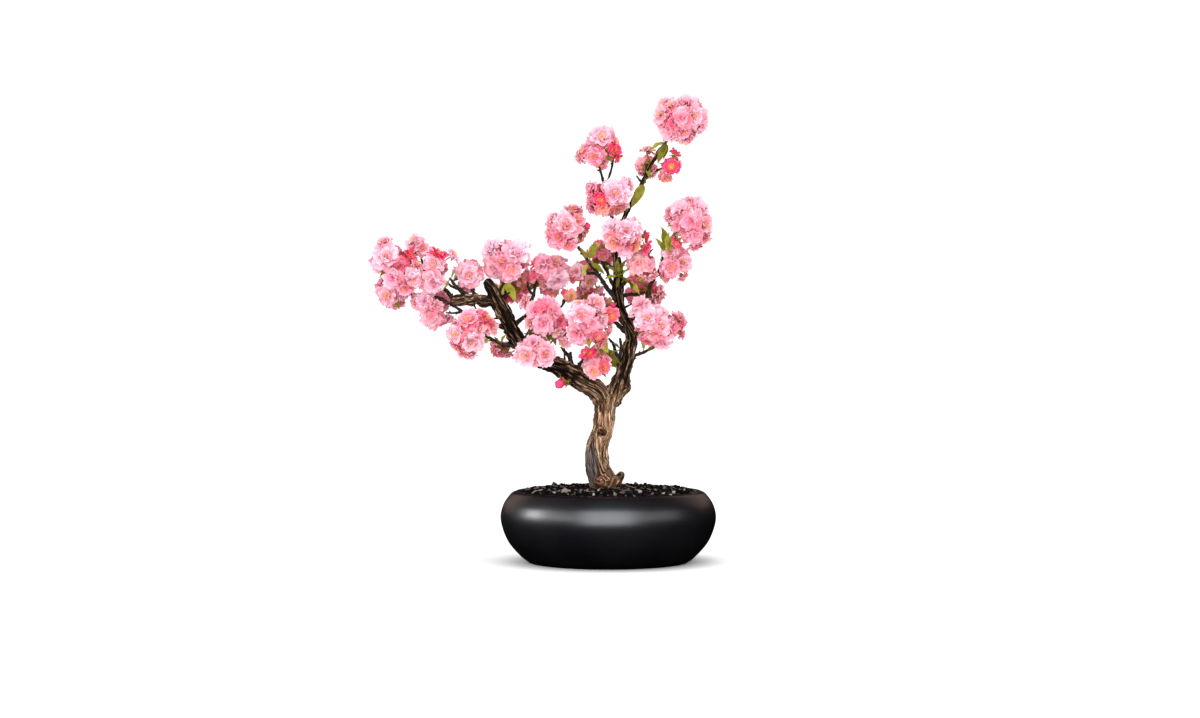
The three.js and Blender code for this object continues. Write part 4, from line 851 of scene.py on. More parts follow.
CHIP_POINTS, CHIP_FACES = icosahedron()
SEED_POINTS = np.array([(1, 0, 0), (-1, 0, 0), (0, 1, 0), (0, -1, 0), (0, 0, 1), (0, 0, -1)], float)
SEED_FACES = np.array([
    (0, 2, 4), (2, 1, 4), (1, 3, 4), (3, 0, 4), (2, 0, 5), (1, 2, 5), (3, 1, 5), (0, 3, 5),
])


# Finishes

class Finish:
    """A node material that is put together one node at a time."""

    def __init__(self, name, gloss, roughness=None):
        self.material = bpy.data.materials.new(name)
        self.material.use_nodes = True
        self.tree = self.material.node_tree
        self.shader = self.tree.nodes["Principled BSDF"]
        self.shader.inputs["Specular IOR Level"].default_value = gloss
        if roughness is not None:
            self.shader.inputs["Roughness"].default_value = roughness

    def node(self, kind, inputs, output=0, **settings):
        """Adds a node and gives back one of its outputs."""
        made = self.tree.nodes.new(kind)
        for name, value in settings.items():
            setattr(made, name, value)
        for name, value in inputs.items():
            self.link(value, made.inputs[name])
        return made.outputs[output]

    def link(self, value, socket):
        """Feeds a socket from another node's output, or sets it to a plain value."""
        if isinstance(value, bpy.types.NodeSocket):
            self.tree.links.new(value, socket)
        else:
            socket.default_value = value

    def read(self, name, output="Fac"):
        """A value that the mesh holds at each point."""
        return self.node("ShaderNodeAttribute", {}, output, attribute_name=name)

    def place(self):
        return self.node("ShaderNodeTexCoord", {}, "Object")

    def noise(self, vector, scale, detail=3.0):
        inputs = {"Vector": vector, "Scale": scale, "Detail": detail, "Roughness": 0.55}
        return self.node("ShaderNodeTexNoise", inputs, "Fac")

    def stretched(self, vector, scales):
        """The same place, scaled along each axis."""
        return self.node("ShaderNodeMapping", {"Vector": vector, "Scale": scales})

    def ramp(self, factor, stops):
        """Colours, or greys, at stops of (place, colour)."""
        made = self.tree.nodes.new("ShaderNodeValToRGB")
        self.link(factor, made.inputs["Fac"])
        elements = made.color_ramp.elements
        while len(elements) < len(stops):
            elements.new(0.5)
        for element, (place, colour) in zip(elements, stops):
            element.position = place
            element.color = (*colour, 1) if isinstance(colour, tuple) else (colour, colour, colour, 1)
        return made.outputs["Color"]

    def mix(self, factor, first, second, blend="MIX"):
        """The first colour, and more of the second as the factor rises."""
        made = self.tree.nodes.new("ShaderNodeMix")
        made.data_type = "RGBA"
        made.blend_type = blend
        for value, socket in ((factor, 0), (first, 6), (second, 7)):
            value = (*value, 1) if isinstance(value, tuple) else value
            self.link(value, made.inputs[socket])
        return made.outputs[2]

    def maths(self, first, second, operation="ADD"):
        made = self.tree.nodes.new("ShaderNodeMath")
        made.operation = operation
        self.link(first, made.inputs[0])
        self.link(second, made.inputs[1])
        return made.outputs[0]

    def product(self, first, second):
        return self.maths(first, second, "MULTIPLY")

    def bump(self, height, distance, strength):
        inputs = {"Height": height, "Distance": distance * MM, "Strength": strength}
        self.link(self.node("ShaderNodeBump", inputs), self.shader.inputs["Normal"])

    def colour(self, value):
        self.link(value, self.shader.inputs["Base Color"])

    def roughness(self, value):
        self.link(value, self.shader.inputs["Roughness"])


def glaze_finish():
    """Nearly black, half-gloss glaze with a faint cloud and fine specks."""
    finish = Finish("satin_black_glaze", gloss=0.35)
    place = finish.place()
    cloud = finish.noise(place, 14, 4)
    speck = finish.noise(place, 900, 2)
    finish.colour(finish.ramp(cloud, [(0.3, (0.0006, 0.0006, 0.0012)), (0.7, (0.0015, 0.0013, 0.0017))]))
    finish.roughness(finish.ramp(finish.product(cloud, speck), [(0.1, 0.33), (0.45, 0.41)]))
    finish.bump(speck, 0.03, 0.35)
    return finish.material


def bark_finish():
    """Pale lines in the grain, dark cracks and furrows, flecks, grey where the wood is bare, and painted
    light on the side that faces right.
    """
    finish = Finish("furrowed_bark", gloss=0.06)
    flow = finish.read("flow", "Vector")
    streak = finish.noise(finish.stretched(flow, (1.0, 1.0, 0.07)), 360, 3)
    line = finish.ramp(streak, [(0.42, 0.0), (0.50, 1.0), (0.58, 0.0)])
    crack = finish.ramp(finish.noise(finish.stretched(flow, (1.0, 1.0, 0.06)), 420, 2), [
        (0.445, 0.0), (0.485, 0.9), (0.515, 0.9), (0.555, 0.0),
    ])
    fine = finish.noise(finish.stretched(flow, (1.0, 1.0, 0.2)), 2300, 3)
    fleck = finish.noise(finish.place(), 480, 4)
    patch = finish.noise(finish.place(), 95, 3)
    relief = finish.maths(finish.product(finish.read("height"), 0.72), finish.product(line, 0.52))
    dark = finish.ramp(relief, [
        (0.25, (0.0018, 0.0008, 0.0006)), (0.46, (0.0052, 0.0023, 0.0015)),
        (0.64, (0.024, 0.0105, 0.0056)), (0.82, (0.13, 0.066, 0.036)), (1.0, (0.46, 0.29, 0.17)),
    ])
    pale = finish.ramp(relief, [
        (0.14, (0.045, 0.021, 0.012)), (0.36, (0.14, 0.066, 0.038)), (0.58, (0.30, 0.160, 0.092)),
        (0.80, (0.60, 0.375, 0.225)), (1.0, (0.93, 0.67, 0.43)),
    ])
    bare = finish.ramp(relief, [
        (0.15, (0.080, 0.062, 0.058)), (0.5, (0.17, 0.135, 0.125)), (0.9, (0.36, 0.28, 0.23)),
    ])
    reddened = finish.ramp(patch, [(0.48, 0.0), (0.62, 0.55)])
    pale = finish.mix(reddened, pale, (0.92, 0.62, 0.50), "MULTIPLY")
    # The light value is the bark's own tone along the limbs, with painted light on the side that faces
    # right.
    wood = finish.mix(finish.read("bare"), finish.mix(finish.read("light"), dark, pale), bare)
    wood = finish.mix(finish.ramp(fleck, [(0.5, 0.0), (0.72, 0.6)]), wood, (0.018, 0.011, 0.009))
    wood = finish.mix(crack, wood, (0.010, 0.0055, 0.004))
    finish.colour(finish.mix(finish.read("furrow"), wood, (0.0060, 0.0032, 0.0024)))
    finish.roughness(finish.ramp(fine, [(0.3, 0.6), (0.7, 0.85)]))
    finish.bump(finish.maths(finish.maths(line, fine), crack, "SUBTRACT"), 0.45, 0.8)
    return finish.material


def twig_finish():
    """Dark brown twig bark in small patches."""
    finish = Finish("twig_bark", gloss=0.3)
    place = finish.place()
    ring = finish.noise(place, 700, 3)
    patch = finish.noise(place, 160, 3)
    finish.colour(finish.ramp(finish.product(ring, patch), [
        (0.12, (0.010, 0.006, 0.005)), (0.3, (0.034, 0.020, 0.014)), (0.48, (0.11, 0.062, 0.038)),
    ]))
    finish.roughness(finish.ramp(ring, [(0.3, 0.5), (0.7, 0.8)]))
    finish.bump(ring, 0.35, 0.6)
    return finish.material


def gravel_finish():
    """Kinds of chip from dark bark at 0, past grey lava and tan stone, to white at 1."""
    finish = Finish("bark_and_lava_chips", gloss=0.12)
    grain = finish.noise(finish.place(), 1100, 4)
    stone = finish.ramp(finish.read("kind"), [
        (0.0, (0.0012, 0.001, 0.0008)), (0.6, (0.005, 0.0036, 0.003)), (0.8, (0.024, 0.017, 0.014)),
        (0.88, (0.11, 0.10, 0.105)), (0.95, (0.30, 0.24, 0.19)), (1.0, (0.62, 0.57, 0.52)),
    ])
    finish.colour(finish.mix(finish.ramp(grain, [(0.35, 0.0), (0.7, 0.6)]), stone, (0.008, 0.006, 0.005)))
    finish.roughness(finish.ramp(grain, [(0.3, 0.55), (0.7, 0.9)]))
    finish.bump(grain, 0.4, 0.8)
    return finish.material


def petal_finish():
    """Colours from the heart at 0 to the rim at 1, one ramp a tone, with veins, clouds and painted shade.
    """
    finish = Finish("cherry_petal", gloss=0.15, roughness=0.6)
    along = finish.read("along")
    parts = finish.tree.nodes.new("ShaderNodeSeparateXYZ")
    finish.link(finish.read("tone", "Vector"), parts.inputs[0])
    hot, warm, pale = parts.outputs
    veins = finish.noise(finish.stretched(finish.read("cloth", "Vector"), (8.0, 1.1, 1.0)), 2.6, 3)
    cloud = finish.noise(finish.place(), 70, 2)
    # The deep pink towards the foot of each ramp is partly the petal's own colour and partly painted shade
    # of the creases.
    usual = finish.ramp(along, [
        (0.0, (0.96, 0.62, 0.32)), (0.14, (0.92, 0.32, 0.32)), (0.32, (0.88, 0.16, 0.27)),
        (0.54, (0.92, 0.36, 0.51)), (0.80, (0.95, 0.56, 0.71)), (1.0, (0.98, 0.87, 0.93)),
    ])
    faded = finish.ramp(along, [
        (0.0, (0.97, 0.80, 0.50)), (0.16, (0.96, 0.60, 0.54)), (0.30, (0.92, 0.33, 0.47)),
        (0.50, (0.94, 0.57, 0.71)), (0.78, (0.96, 0.71, 0.84)), (1.0, (0.99, 0.95, 0.98)),
    ])
    deep = finish.ramp(along, [
        (0.0, (0.96, 0.62, 0.12)), (0.12, (0.94, 0.38, 0.14)), (0.26, (0.90, 0.10, 0.16)),
        (0.6, (0.88, 0.06, 0.20)), (0.9, (0.93, 0.17, 0.36)), (1.0, (0.95, 0.42, 0.58)),
    ])
    peach = finish.ramp(along, [
        (0.0, (0.94, 0.60, 0.14)), (0.4, (0.95, 0.48, 0.27)), (0.8, (0.95, 0.50, 0.42)),
        (1.0, (0.95, 0.66, 0.62)),
    ])
    petal = finish.mix(hot, finish.mix(warm, finish.mix(pale, usual, faded), peach), deep)
    petal = finish.mix(finish.ramp(veins, [(0.42, 0.0), (0.7, 0.4)]), petal, (0.95, 0.60, 0.70), "MULTIPLY")
    petal = finish.mix(finish.ramp(cloud, [(0.35, 0.0), (0.7, 0.4)]), petal, (0.97, 0.76, 0.84), "MULTIPLY")
    # Painted shade: the petals turn deep dull pink where flowers are pressed together and on flowers in
    # shade, and a little at random.
    finish.colour(finish.mix(finish.read("shade"), petal, (0.94, 0.42, 0.46), "MULTIPLY"))
    finish.bump(veins, 0.25, 0.5)
    return finish.material


def stamen_finish():
    """Threads from their foot at 0, and anthers near 1."""
    finish = Finish("stamen", gloss=0.3, roughness=0.6)
    finish.colour(finish.ramp(finish.read("along"), [
        (0.0, (0.90, 0.55, 0.25)), (0.6, (0.95, 0.72, 0.32)), (0.8, (0.92, 0.50, 0.06)),
        (1.0, (0.95, 0.62, 0.10)),
    ]))
    finish.bump(finish.noise(finish.place(), 2500, 2), 0.1, 0.4)
    return finish.material


def green_finish(name, low, middle, high):
    """Leaf or sepal in three colours, from shaded to fresh, with veins."""
    finish = Finish(name, gloss=0.14)
    patch = finish.noise(finish.place(), 130, 3)
    veins = finish.noise(finish.stretched(finish.read("cloth", "Vector"), (1.0, 7.0, 1.0)), 5.0, 2)
    mixed = finish.maths(finish.read("shade"), finish.maths(patch, 0.5, "SUBTRACT"))
    base = finish.ramp(mixed, [(0.1, low), (0.5, middle), (0.95, high)])
    finish.colour(finish.mix(finish.ramp(veins, [(0.35, 0.0), (0.7, 0.35)]), base, high))
    finish.roughness(finish.ramp(patch, [(0.3, 0.42), (0.7, 0.6)]))
    finish.bump(veins, 0.3, 0.5)
    return finish.material


GLAZE = glaze_finish()
BARK = bark_finish()
TWIG = twig_finish()
GRAVEL = gravel_finish()
PETAL = petal_finish()
STAMEN = stamen_finish()
LEAF = green_finish("young_leaf", (0.060, 0.040, 0.003), (0.18, 0.16, 0.011), (0.40, 0.40, 0.05))
CALYX = green_finish("calyx", (0.24, 0.085, 0.040), (0.32, 0.16, 0.030), (0.40, 0.30, 0.06))


# Bowl

def pot_wall(inward, count):
    """Points of the bowl's outside from foot to rim, or of a line that keeps a distance inward of it."""
    curve = spline(POT_OUTLINE, np.linspace(0, 1, count), flat_ends=True)
    tangent = unit(np.gradient(curve, axis=0))
    return curve + np.stack([-tangent[:, 1], tangent[:, 0]], axis=1) * inward


def bowl():
    """The whole bowl, turned from one outline."""
    outside = pot_wall(0, 64)
    inside = pot_wall(POT_WALL, 30)
    inside = inside[inside[:, 1] > POT_FLOOR + 2]
    rim_out, rim_in = outside[-1], inside[-1]
    middle = (rim_out + rim_in) / 2
    lip = [
        middle + (rim_out - middle) * math.cos(a) + np.array(POT_LIP) * math.sin(a)
        for a in np.linspace(0, math.pi, 9)[1:-1]
    ]
    outside[0] = POT_FOOT_EDGE
    floor = [[inside[0, 0] - POT_CORNER, POT_FLOOR], [0, POT_FLOOR]]
    heap = Heap()
    heap.add(*turned([*POT_FOOT, *outside, *lip, *inside[::-1], *floor], POT_SIDES))
    return piece("bowl", heap.mesh("bowl"), GLAZE, ["pot"])


# Soil

def soil_height(out):
    """Height of the soil at a distance from the bowl's middle."""
    return SOIL_LEVEL + SOIL_MOUND * (1 - (out / POT_OUTLINE[-1][0]) ** 2)


def on_soil(x, y, lift):
    """A place at a height over the soil."""
    return np.array([x, y, soil_height(math.hypot(x, y)) + lift])


def soil_bed():
    """The lumpy body of the soil that the chips lie on."""
    inside = pot_wall(POT_WALL + SOIL_GAP, 40)
    inside = inside[(inside[:, 1] > POT_FLOOR + 2.4) & (inside[:, 1] < SOIL_LEVEL - 2)]
    floor = POT_FLOOR + SOIL_GAP
    top = [[out, soil_height(out) - SOIL_BED] for out in np.linspace(1, 0.02, 46) * SOIL_EDGE]
    bottom = [[0, floor], [inside[0, 0] - POT_CORNER, floor]]
    points, faces = turned([*bottom, *inside, *top, [0, soil_height(0) - SOIL_BED]], SOIL_SIDES)
    upper = points[:, 2] > SOIL_LEVEL - 1.9
    points[upper, 2] += 1.3 * smooth_noise(points[upper] / SOIL_LUMP, 3) - 0.4
    return points, faces


def chip(heap, centre, size, shape, angles, kind, seed):
    """Rough lump of stone, bark or wood."""
    rough = 1 + CHIP_ROUGHNESS * (2 * chance(seed + np.arange(12) * 0.37) - 1)
    points = CHIP_POINTS * rough[:, None] * np.array(shape) * size
    heap.add(points @ spun(angles).T + centre, [CHIP_FACES], kind=kind)


def is_one_of(k, rule):
    """Whether the rule of one in so many picks out number k."""
    every, which = rule
    return k % every == which


def loose_chip(heap, k):
    """One of the chips that lie in a spiral from the middle to the rim."""
    seed = k * 1.37 + 0.5
    turn = k * GOLDEN_TURN
    out = CHIPS_REACH * math.sqrt((k + 0.5) / CHIPS)
    size = between(*CHIP_SIZE, seed + 0.1)
    kind = between(*DARK_KINDS, seed + 0.2)
    shape = (1.25, between(0.6, 1.0, seed + 0.3), between(0.45, 0.8, seed + 0.4))
    if is_one_of(k, LONG_CHIPS):
        size, shape = size * 1.1, LONG_CHIP
        kind = between(*LONG_KINDS, seed + 0.5)
    if is_one_of(k, PALE_CHIPS):
        kind = between(*PALE_KINDS, seed + 0.6)
    if is_one_of(k, WHITE_CHIPS):
        size, kind = WHITE_CHIP_SIZE, 1.0
    lift = between(*CHIP_LIFT, seed + 0.7) * (1 if out < CHIPS_CALM else 0.5)
    centre = on_soil(out * math.cos(turn), out * math.sin(turn), lift)
    left, right, front, back = ROOT_CLEARING
    if left < centre[0] < right and front < centre[1] < back:
        centre[2] -= CLEARING_DEPTH
    angles = (between(-0.7, 0.7, seed + 0.8), between(-0.5, 0.5, seed + 0.9), between(0, 6.28, seed))
    chip(heap, centre, size, shape, angles, kind, seed)


def gravel():
    """Soil bed with the chips, stones and splinters on it, as one piece."""
    heap = Heap()
    heap.add(*soil_bed(), kind=0.18)
    for k in range(CHIPS):
        loose_chip(heap, k)
    for k, (x, y, size, kind) in enumerate(STONES):
        centre = on_soil(x, y, 0.6 * size + 0.8)
        chip(heap, centre, size, (1.0, 0.9, 0.8), (0.4 * k, 0.7 * k, 1.1 * k), kind, k * 2.3)
    for k, (x, y, length, turn) in enumerate(SPLINTERS):
        angles = (0.2, 0.25 * math.cos(k * 2.0), turn)
        chip(heap, on_soil(x, y, 3.6), length / 2, (1.3, 0.2, 0.18), angles, 0.95, k * 3.3)
    piece("gravel", heap.mesh("gravel", smooth=False), GRAVEL, ["soil"])


# Wood

def blank_wood():
    """The limbs as one smooth skin, before the bark is cut into it."""
    heap = Heap()
    angle = np.arange(LIMB_SIDES)[None] * TURN / LIMB_SIDES
    for route in WOOD.values():
        path, radii, arc = evenly(route, FLOW_STEP)
        wind = LIMB_WIND * arc[:, None] / arc[-1]
        ridges = np.sin(3 * angle + wind) + 0.6 * np.sin(2 * angle - 2 * wind)
        heap.add(*tube(path, radii[:, None] * (LIMB_FULLNESS + LIMB_RIDGE * ridges), LIMB_SIDES))
    made = in_scene("blank_wood", heap.mesh("blank_wood"))
    remesh = made.modifiers.new("skin", "REMESH")
    remesh.mode = "VOXEL"
    remesh.voxel_size = VOXEL * MM
    smooth = made.modifiers.new("smooth", "SMOOTH")
    smooth.iterations = 7
    smooth.factor = 0.6
    evaluated = made.evaluated_get(bpy.context.evaluated_depsgraph_get())
    mesh = bpy.data.meshes.new_from_object(evaluated)
    bpy.data.objects.remove(made)
    return mesh


def lines(flow, across, along, width, seed):
    """Thin wavering lines that run along the limb: 1 on a line and 0 between."""
    place = flow / np.array([across, across, along])
    warp = 0.35 * smooth_noise(flow / np.array([9.0, 9.0, 16.0]), seed + 5)
    return np.exp(-((smooth_noise(place + warp[:, None] * [1, 1, 0], seed) / width) ** 2))


def round_swirls(points, front):
    """How far the grain moves aside to flow around each swirl, in millimetres across the trunk."""
    aside = np.zeros(len(points))
    for x, z, wide, high in SWIRLS:
        out = np.maximum(np.hypot((points[:, 0] - x) / wide, (points[:, 2] - z) / high), 1)
        aside -= front * (points[:, 0] - x) / out ** 2
    return aside


def swirl_rings(points, front, crest, furrow):
    """Uneven rings in place of the lines, where a swirl is, and in the smaller one a hole, a shallow dent
    painted dark as its shade.
    """
    for x, z, wide, high in SWIRLS:
        a, b = (points[:, 0] - x) / wide, (points[:, 2] - z) / high
        out = np.hypot(a, b) + 0.3 * smooth_noise(points / 4.5, 41) + 0.12 * smooth_noise(points / 2.0, 42)
        uneven = 0.16 * np.sin(2 * np.arctan2(b, a) + 1) + 0.4 * smooth_noise(points / 4.0, 43)
        ring = np.cos(TURN * (1.6 * out + uneven))
        patchy = np.clip(0.65 + 0.8 * smooth_noise(points / 3.0, 44), 0, 1)
        inside = np.clip(3.0 - 2.4 * out, 0, 1) * front
        crest = crest * (1 - inside) + inside * patchy * np.clip(ring, 0, 1) ** 1.5
        furrow = furrow * (1 - inside) + inside * patchy * np.clip(-1.5 * ring - 0.6, 0, 1)
        # The hole is painted dark as its shade, and dented a little.
        hole = np.hypot(a + 0.1, b + 0.15) < SWIRL_HOLE + 0.12 * smooth_noise(points / 1.8, 45)
        furrow = np.maximum(furrow, 0.6 * inside * hole * (wide < HOLED_WIDTH))
    return crest, furrow


def nearest_places(points, path, radii):
    """The nearest place on the path for each point, and how far it lies outside the radius there."""
    nearest = np.empty(len(points), int)
    distance = np.empty(len(points))
    for start in range(0, len(points), 8192):
        some = slice(start, start + 8192)
        apart = np.linalg.norm(points[some, None] - path[None], axis=-1) - radii[None]
        nearest[some] = apart.argmin(axis=1)
        distance[some] = apart.min(axis=1)
    return nearest, distance


def limb_values(name, points, front):
    """A limb's weight, girth, lightness and flow of the grain at each point of the skin."""
    path, radii, arc = evenly(WOOD[name], FLOW_STEP)
    tangents, across, up = frames_along(path)
    nearest, distance = nearest_places(points, path, radii)
    out = points - path[nearest]
    girth = radii[nearest]
    angle = np.arctan2((out * up[nearest]).sum(1), (out * across[nearest]).sum(1))
    angle += GRAIN_TWIST * arc[nearest]
    if name == "trunk":
        angle += round_swirls(points, front) / girth
    along = arc[nearest] + (out * tangents[nearest]).sum(1)
    first, last = LIGHTNESS[name]
    light = last + (first - last) * np.exp(-arc[nearest] / LIGHT_FADE)
    flow = np.stack([np.cos(angle) * girth, np.sin(angle) * girth, along], axis=1)
    return np.exp(-np.maximum(distance, 0) / LIMB_BLEND), girth, light, flow


def grain(weights, girths, flows):
    """Crests and furrows that run along the limbs, from 0 to 1."""
    crest, furrow = np.zeros((2, weights.shape[1]))
    for k, (weight, girth, flow) in enumerate(zip(weights, girths, flows)):
        used = weight > 0
        weight, flow = weight[used], flow[used]
        deep = np.where(girth[used] < RUGGED, 1.0, 0.55)
        furrow[used] += weight * deep * lines(flow, *FURROW_LINES, 11 + k)
        crest[used] += weight * lines(flow, *CREST_LINES, 31 + k)
    return crest, furrow


def bareness(points):
    """Where the trunk has lost its bark and is weathered grey, from 0 to 1."""
    x, z = points[:, 0], points[:, 2]
    edge = BARE_SIDE + 2.5 * smooth_noise(points / np.array([6, 6, 14]), 74)
    left = np.clip((edge - x) / 3.0, 0, 1)
    return left * np.clip((BARE_TOP - z) / 22, 0, 1) * np.clip((z - BARE_FOOT) / 8, 0, 1)


def bark_lift(points, girth, lumps, crest, furrow):
    """How far the bark moves the skin out, in millimetres."""
    rugged = girth < RUGGED
    bumps = np.where(rugged, *LUMPS) * lumps + SMALL_LUMPS * smooth_noise(points / 2.6, 75)
    bumps += np.where(rugged, *KNOBS) * np.maximum(smooth_noise(points / 7.0, 76) - 0.35, 0)
    return (bumps + CREST * crest - FURROW * furrow - LOWERED) * np.clip(girth / FULL_RELIEF, 0.25, 1.0)


def wood():
    """Trunk, branches and root knob as one skin with bark."""
    mesh = blank_wood()
    points = read_vectors(mesh.vertices, "co") / MM
    normals = read_vectors(mesh.vertex_normals, "vector")
    front = np.clip((0.4 - normals[:, 1]) / 0.5, 0, 1)
    on_limbs = zip(*[limb_values(name, points, front) for name in WOOD])
    weights, girths, lights, flows = (np.array(values) for values in on_limbs)
    weights[weights < 0.02] = 0
    owner = weights.argmax(axis=0)
    weights = weights / np.maximum(weights.sum(axis=0), 1e-9)
    # Bark tone along the limbs, painted light on the side that faces right, and a little noise.
    light = (weights * lights).sum(axis=0) + 0.15 * normals[:, 0] + 0.15 * smooth_noise(points / 9, 73)
    girth = (weights * girths).sum(axis=0)
    crest, furrow = swirl_rings(points, front, *grain(weights, girths, flows))
    bare = bareness(points)
    crest, furrow = crest * (1 - 0.6 * bare), furrow * (1 - 0.7 * bare)
    lumps = smooth_noise(points / np.array([9, 9, 13]), 71) + 0.5 * smooth_noise(points / 4.5, 72)
    moved = points + normals * bark_lift(points, girth, lumps, crest, furrow)[:, None]
    mesh.vertices.foreach_set("co", (moved * MM).astype(np.float32).ravel())
    write_values(mesh, "bare", bare)
    write_values(mesh, "furrow", np.clip(furrow, 0, 1))
    write_values(mesh, "height", np.clip(0.30 + 0.70 * crest + 0.10 * lumps, 0, 1))
    write_values(mesh, "light", np.clip(light, 0, 1))
    write_values(mesh, "flow", flows[owner, np.arange(len(points))] * MM)
    mesh.polygons.foreach_set("use_smooth", np.ones(len(mesh.polygons), bool))
    mesh.update()
    piece("wood", mesh, BARK, ["tree"])


# Twigs

def scale_bud(heap, foot, way, length, width):
    """Small pointed bud of a twig."""
    points, faces = turned(np.array(SCALE_BUD) * [width, length], 6)
    heap.add(points @ pose_of(way).T + foot, faces)


def twig(heap, number, route, hearts):
    """Twig with swollen nodes and scale buds, which reaches on into a knot near its end."""
    route = [list(point) for point in route]
    end = np.array(route[-1][:3], float)
    near = [heart for heart in hearts if np.linalg.norm(heart - end) < KNOT_REACH]
    if near:
        route.append([*near[0], 1.3])
    path, radii, arc = evenly(route, 2.2)
    wander = np.stack([smooth_noise(path / 9 + 17 * k + number, 5 + k) for k in range(3)], axis=1)
    path = path + TWIG_WANDER * wander * np.clip(np.minimum(arc, arc[-1] - arc) / 8, 0, 1)[:, None]
    spacing = between(8, 11, number + 0.5)
    swell = 1 + 0.22 * np.exp(-(((arc % spacing) - spacing / 2) / 1.3) ** 2)
    cells = np.broadcast_arrays(arc[:, None] / 2.4, np.arange(TWIG_SIDES) * 1.3, float(number))
    rough = 1 + 0.16 * smooth_noise(np.stack(cells, axis=-1), 9)
    heap.add(*tube(path, (radii * swell)[:, None] * rough, TWIG_SIDES))
    tangents, across, up = frames_along(path)
    for k, at in enumerate(np.arange(spacing / 2, arc[-1] - 4, spacing)):
        index = int(np.searchsorted(arc, at))
        turn = (number + k) * GOLDEN_TURN
        side = across[index] * math.cos(turn) + up[index] * math.sin(turn)
        size = between(2.2, 4.2, number * 5 + k)
        foot = path[index] + side * radii[index] * 0.6
        scale_bud(heap, foot, unit(side + 0.8 * tangents[index]), size, size * 0.3)


def spur(heap, limb, at, azimuth, elevation, length):
    """Short bare twig with a bud at its end."""
    path, radii, arc = evenly(WOOD[limb], 2)
    index = int(at * (len(path) - 1))
    girth = radii[index]
    way = direction(azimuth, elevation)
    foot = path[index] + way * girth * 0.5
    reach = girth * 0.5 + length
    bend = direction(azimuth + 35, elevation + 25) * length * 0.25
    route = [[*foot, 2.0], [*(foot + way * reach * 0.55), 1.5], [*(foot + way * reach + bend), 1.0]]
    path, radii, arc = evenly(route, 1.6)
    heap.add(*tube(path, radii * (1 + 0.2 * np.sin(arc * 1.9)), 7))
    scale_bud(heap, path[-1], unit(path[-1] - path[-2]), 3.6, 1.4)


def twigs():
    """All twigs, and the short spurs on the limbs, as one piece."""
    heap = Heap()
    hearts = [np.array(bunch[0], float) for bunch in BUNCHES.values()]
    for number, route in enumerate(TWIGS.values()):
        twig(heap, number, route, hearts)
    for entry in SPURS:
        spur(heap, *entry)
    piece("twigs", heap.mesh("twigs"), TWIG, ["tree"])


# Flowers

def flowers():
    """Every open flower and bud, each with the open flowers that may touch it."""
    found = []
    for bunch, (knot, back, blooms, buds) in BUNCHES.items():
        knot = np.array(knot, float)
        places = [(*entry, True) for entry in blooms] + [(*entry, False) for entry in buds]
        for azimuth, elevation in BACK[:back]:
            across, behind, up = BACK_REACH * direction(azimuth, elevation)
            # Flowers on the back take the shaded tone, which paints shade on them.
            places.append(("shaded", across, -behind, up, BACK_RADIUS, True))
        for tone, across, forward, up, radius, is_open in places:
            seed = float(len(found))
            aside = between(-TURNED_ASIDE, TURNED_ASIDE, 3.3 * seed + np.array([0.11, 0.23, 0.37]))
            way = unit(unit(np.array([across, -FACING * forward - FACING_LEAN, up])) + aside)
            found.append({
                "bunch": bunch, "knot": knot, "open": is_open, "seed": seed, "radius": radius * FULLNESS,
                "centre": knot + [across, -forward, up], "tone": TONES[tone], "way": way,
                "pose": pose_of(way, seed * GOLDEN_TURN),
            })
    for flower in found:
        flower["others"] = [other for other in found if other["open"] and may_touch(flower, other)]
    return found


def may_touch(flower, other):
    """Whether two flowers are near enough to press on each other."""
    apart = np.linalg.norm(other["centre"] - flower["centre"])
    return other is not flower and apart < 1.2 * (flower["radius"] + other["radius"])


def on(flower, points):
    """Points in the flower's own frame, moved to where the flower is."""
    return points @ flower["pose"].T + flower["centre"]


def shows_stamens(flower):
    """Whether a flower has an open heart, as hot pink ones have and others now and then."""
    plain = flower["tone"] in [TONES[name] for name in PLAIN_TONES]
    open_heart = chance(flower["seed"]) > (0.7 if plain else 0.35)
    return flower["open"] and (flower["tone"][0] > HOT or open_heart)


def petal(length, width, rise, curl, seed, rows, columns):
    """A ruffled petal with a notched tip, from its foot at the origin out along +X."""
    u, v = shares(rows, columns)
    half = 0.5 * width * (0.16 + 0.84 * np.sin(math.pi * 0.66 * u ** 0.85))
    slant = between(-SLANT, SLANT, seed + 0.17) * v
    notch = between(*NOTCH, seed + 0.1) * np.exp(-((v - slant) / NOTCH_WIDTH) ** 2)
    frill = FRILL * np.sin(6.0 * v + between(0, 6.28, seed + 0.15))
    along = u * length * (1 - 0.40 * np.abs(v) ** 2.2 - notch + frill + slant)
    start, bend = math.radians(rise), math.radians(curl) or 1e-6
    angle = start + bend * along / length
    x = length / bend * (np.sin(angle) - math.sin(start))
    z = length / bend * (math.cos(start) - np.cos(angle))
    turns = between(1.2, 2.3, seed + 0.22)
    wave = np.sin(math.pi * turns * v + between(0, 6.28, seed + 0.2)) * u ** 1.5
    crimp = np.sin(math.pi * 2.3 * v + between(0, 6.28, seed + 0.3)) * u ** 2.2
    cup = between(*CUPPING, seed + 0.4) * v * v * u * width
    lift = cup + width * (between(*WAVE, seed + 0.45) * wave + CRIMP * crimp)
    normal = np.stack([-np.sin(angle), np.zeros_like(angle), np.cos(angle)], axis=-1)
    grid = np.stack([x, np.broadcast_to(v * half, x.shape), z], axis=-1) + normal * lift[..., None]
    side, ahead = np.gradient(grid, axis=1), np.gradient(grid, axis=0)
    return grid, unit(np.cross(ahead, side)), np.broadcast_to(u, x.shape), np.broadcast_to(v, x.shape)


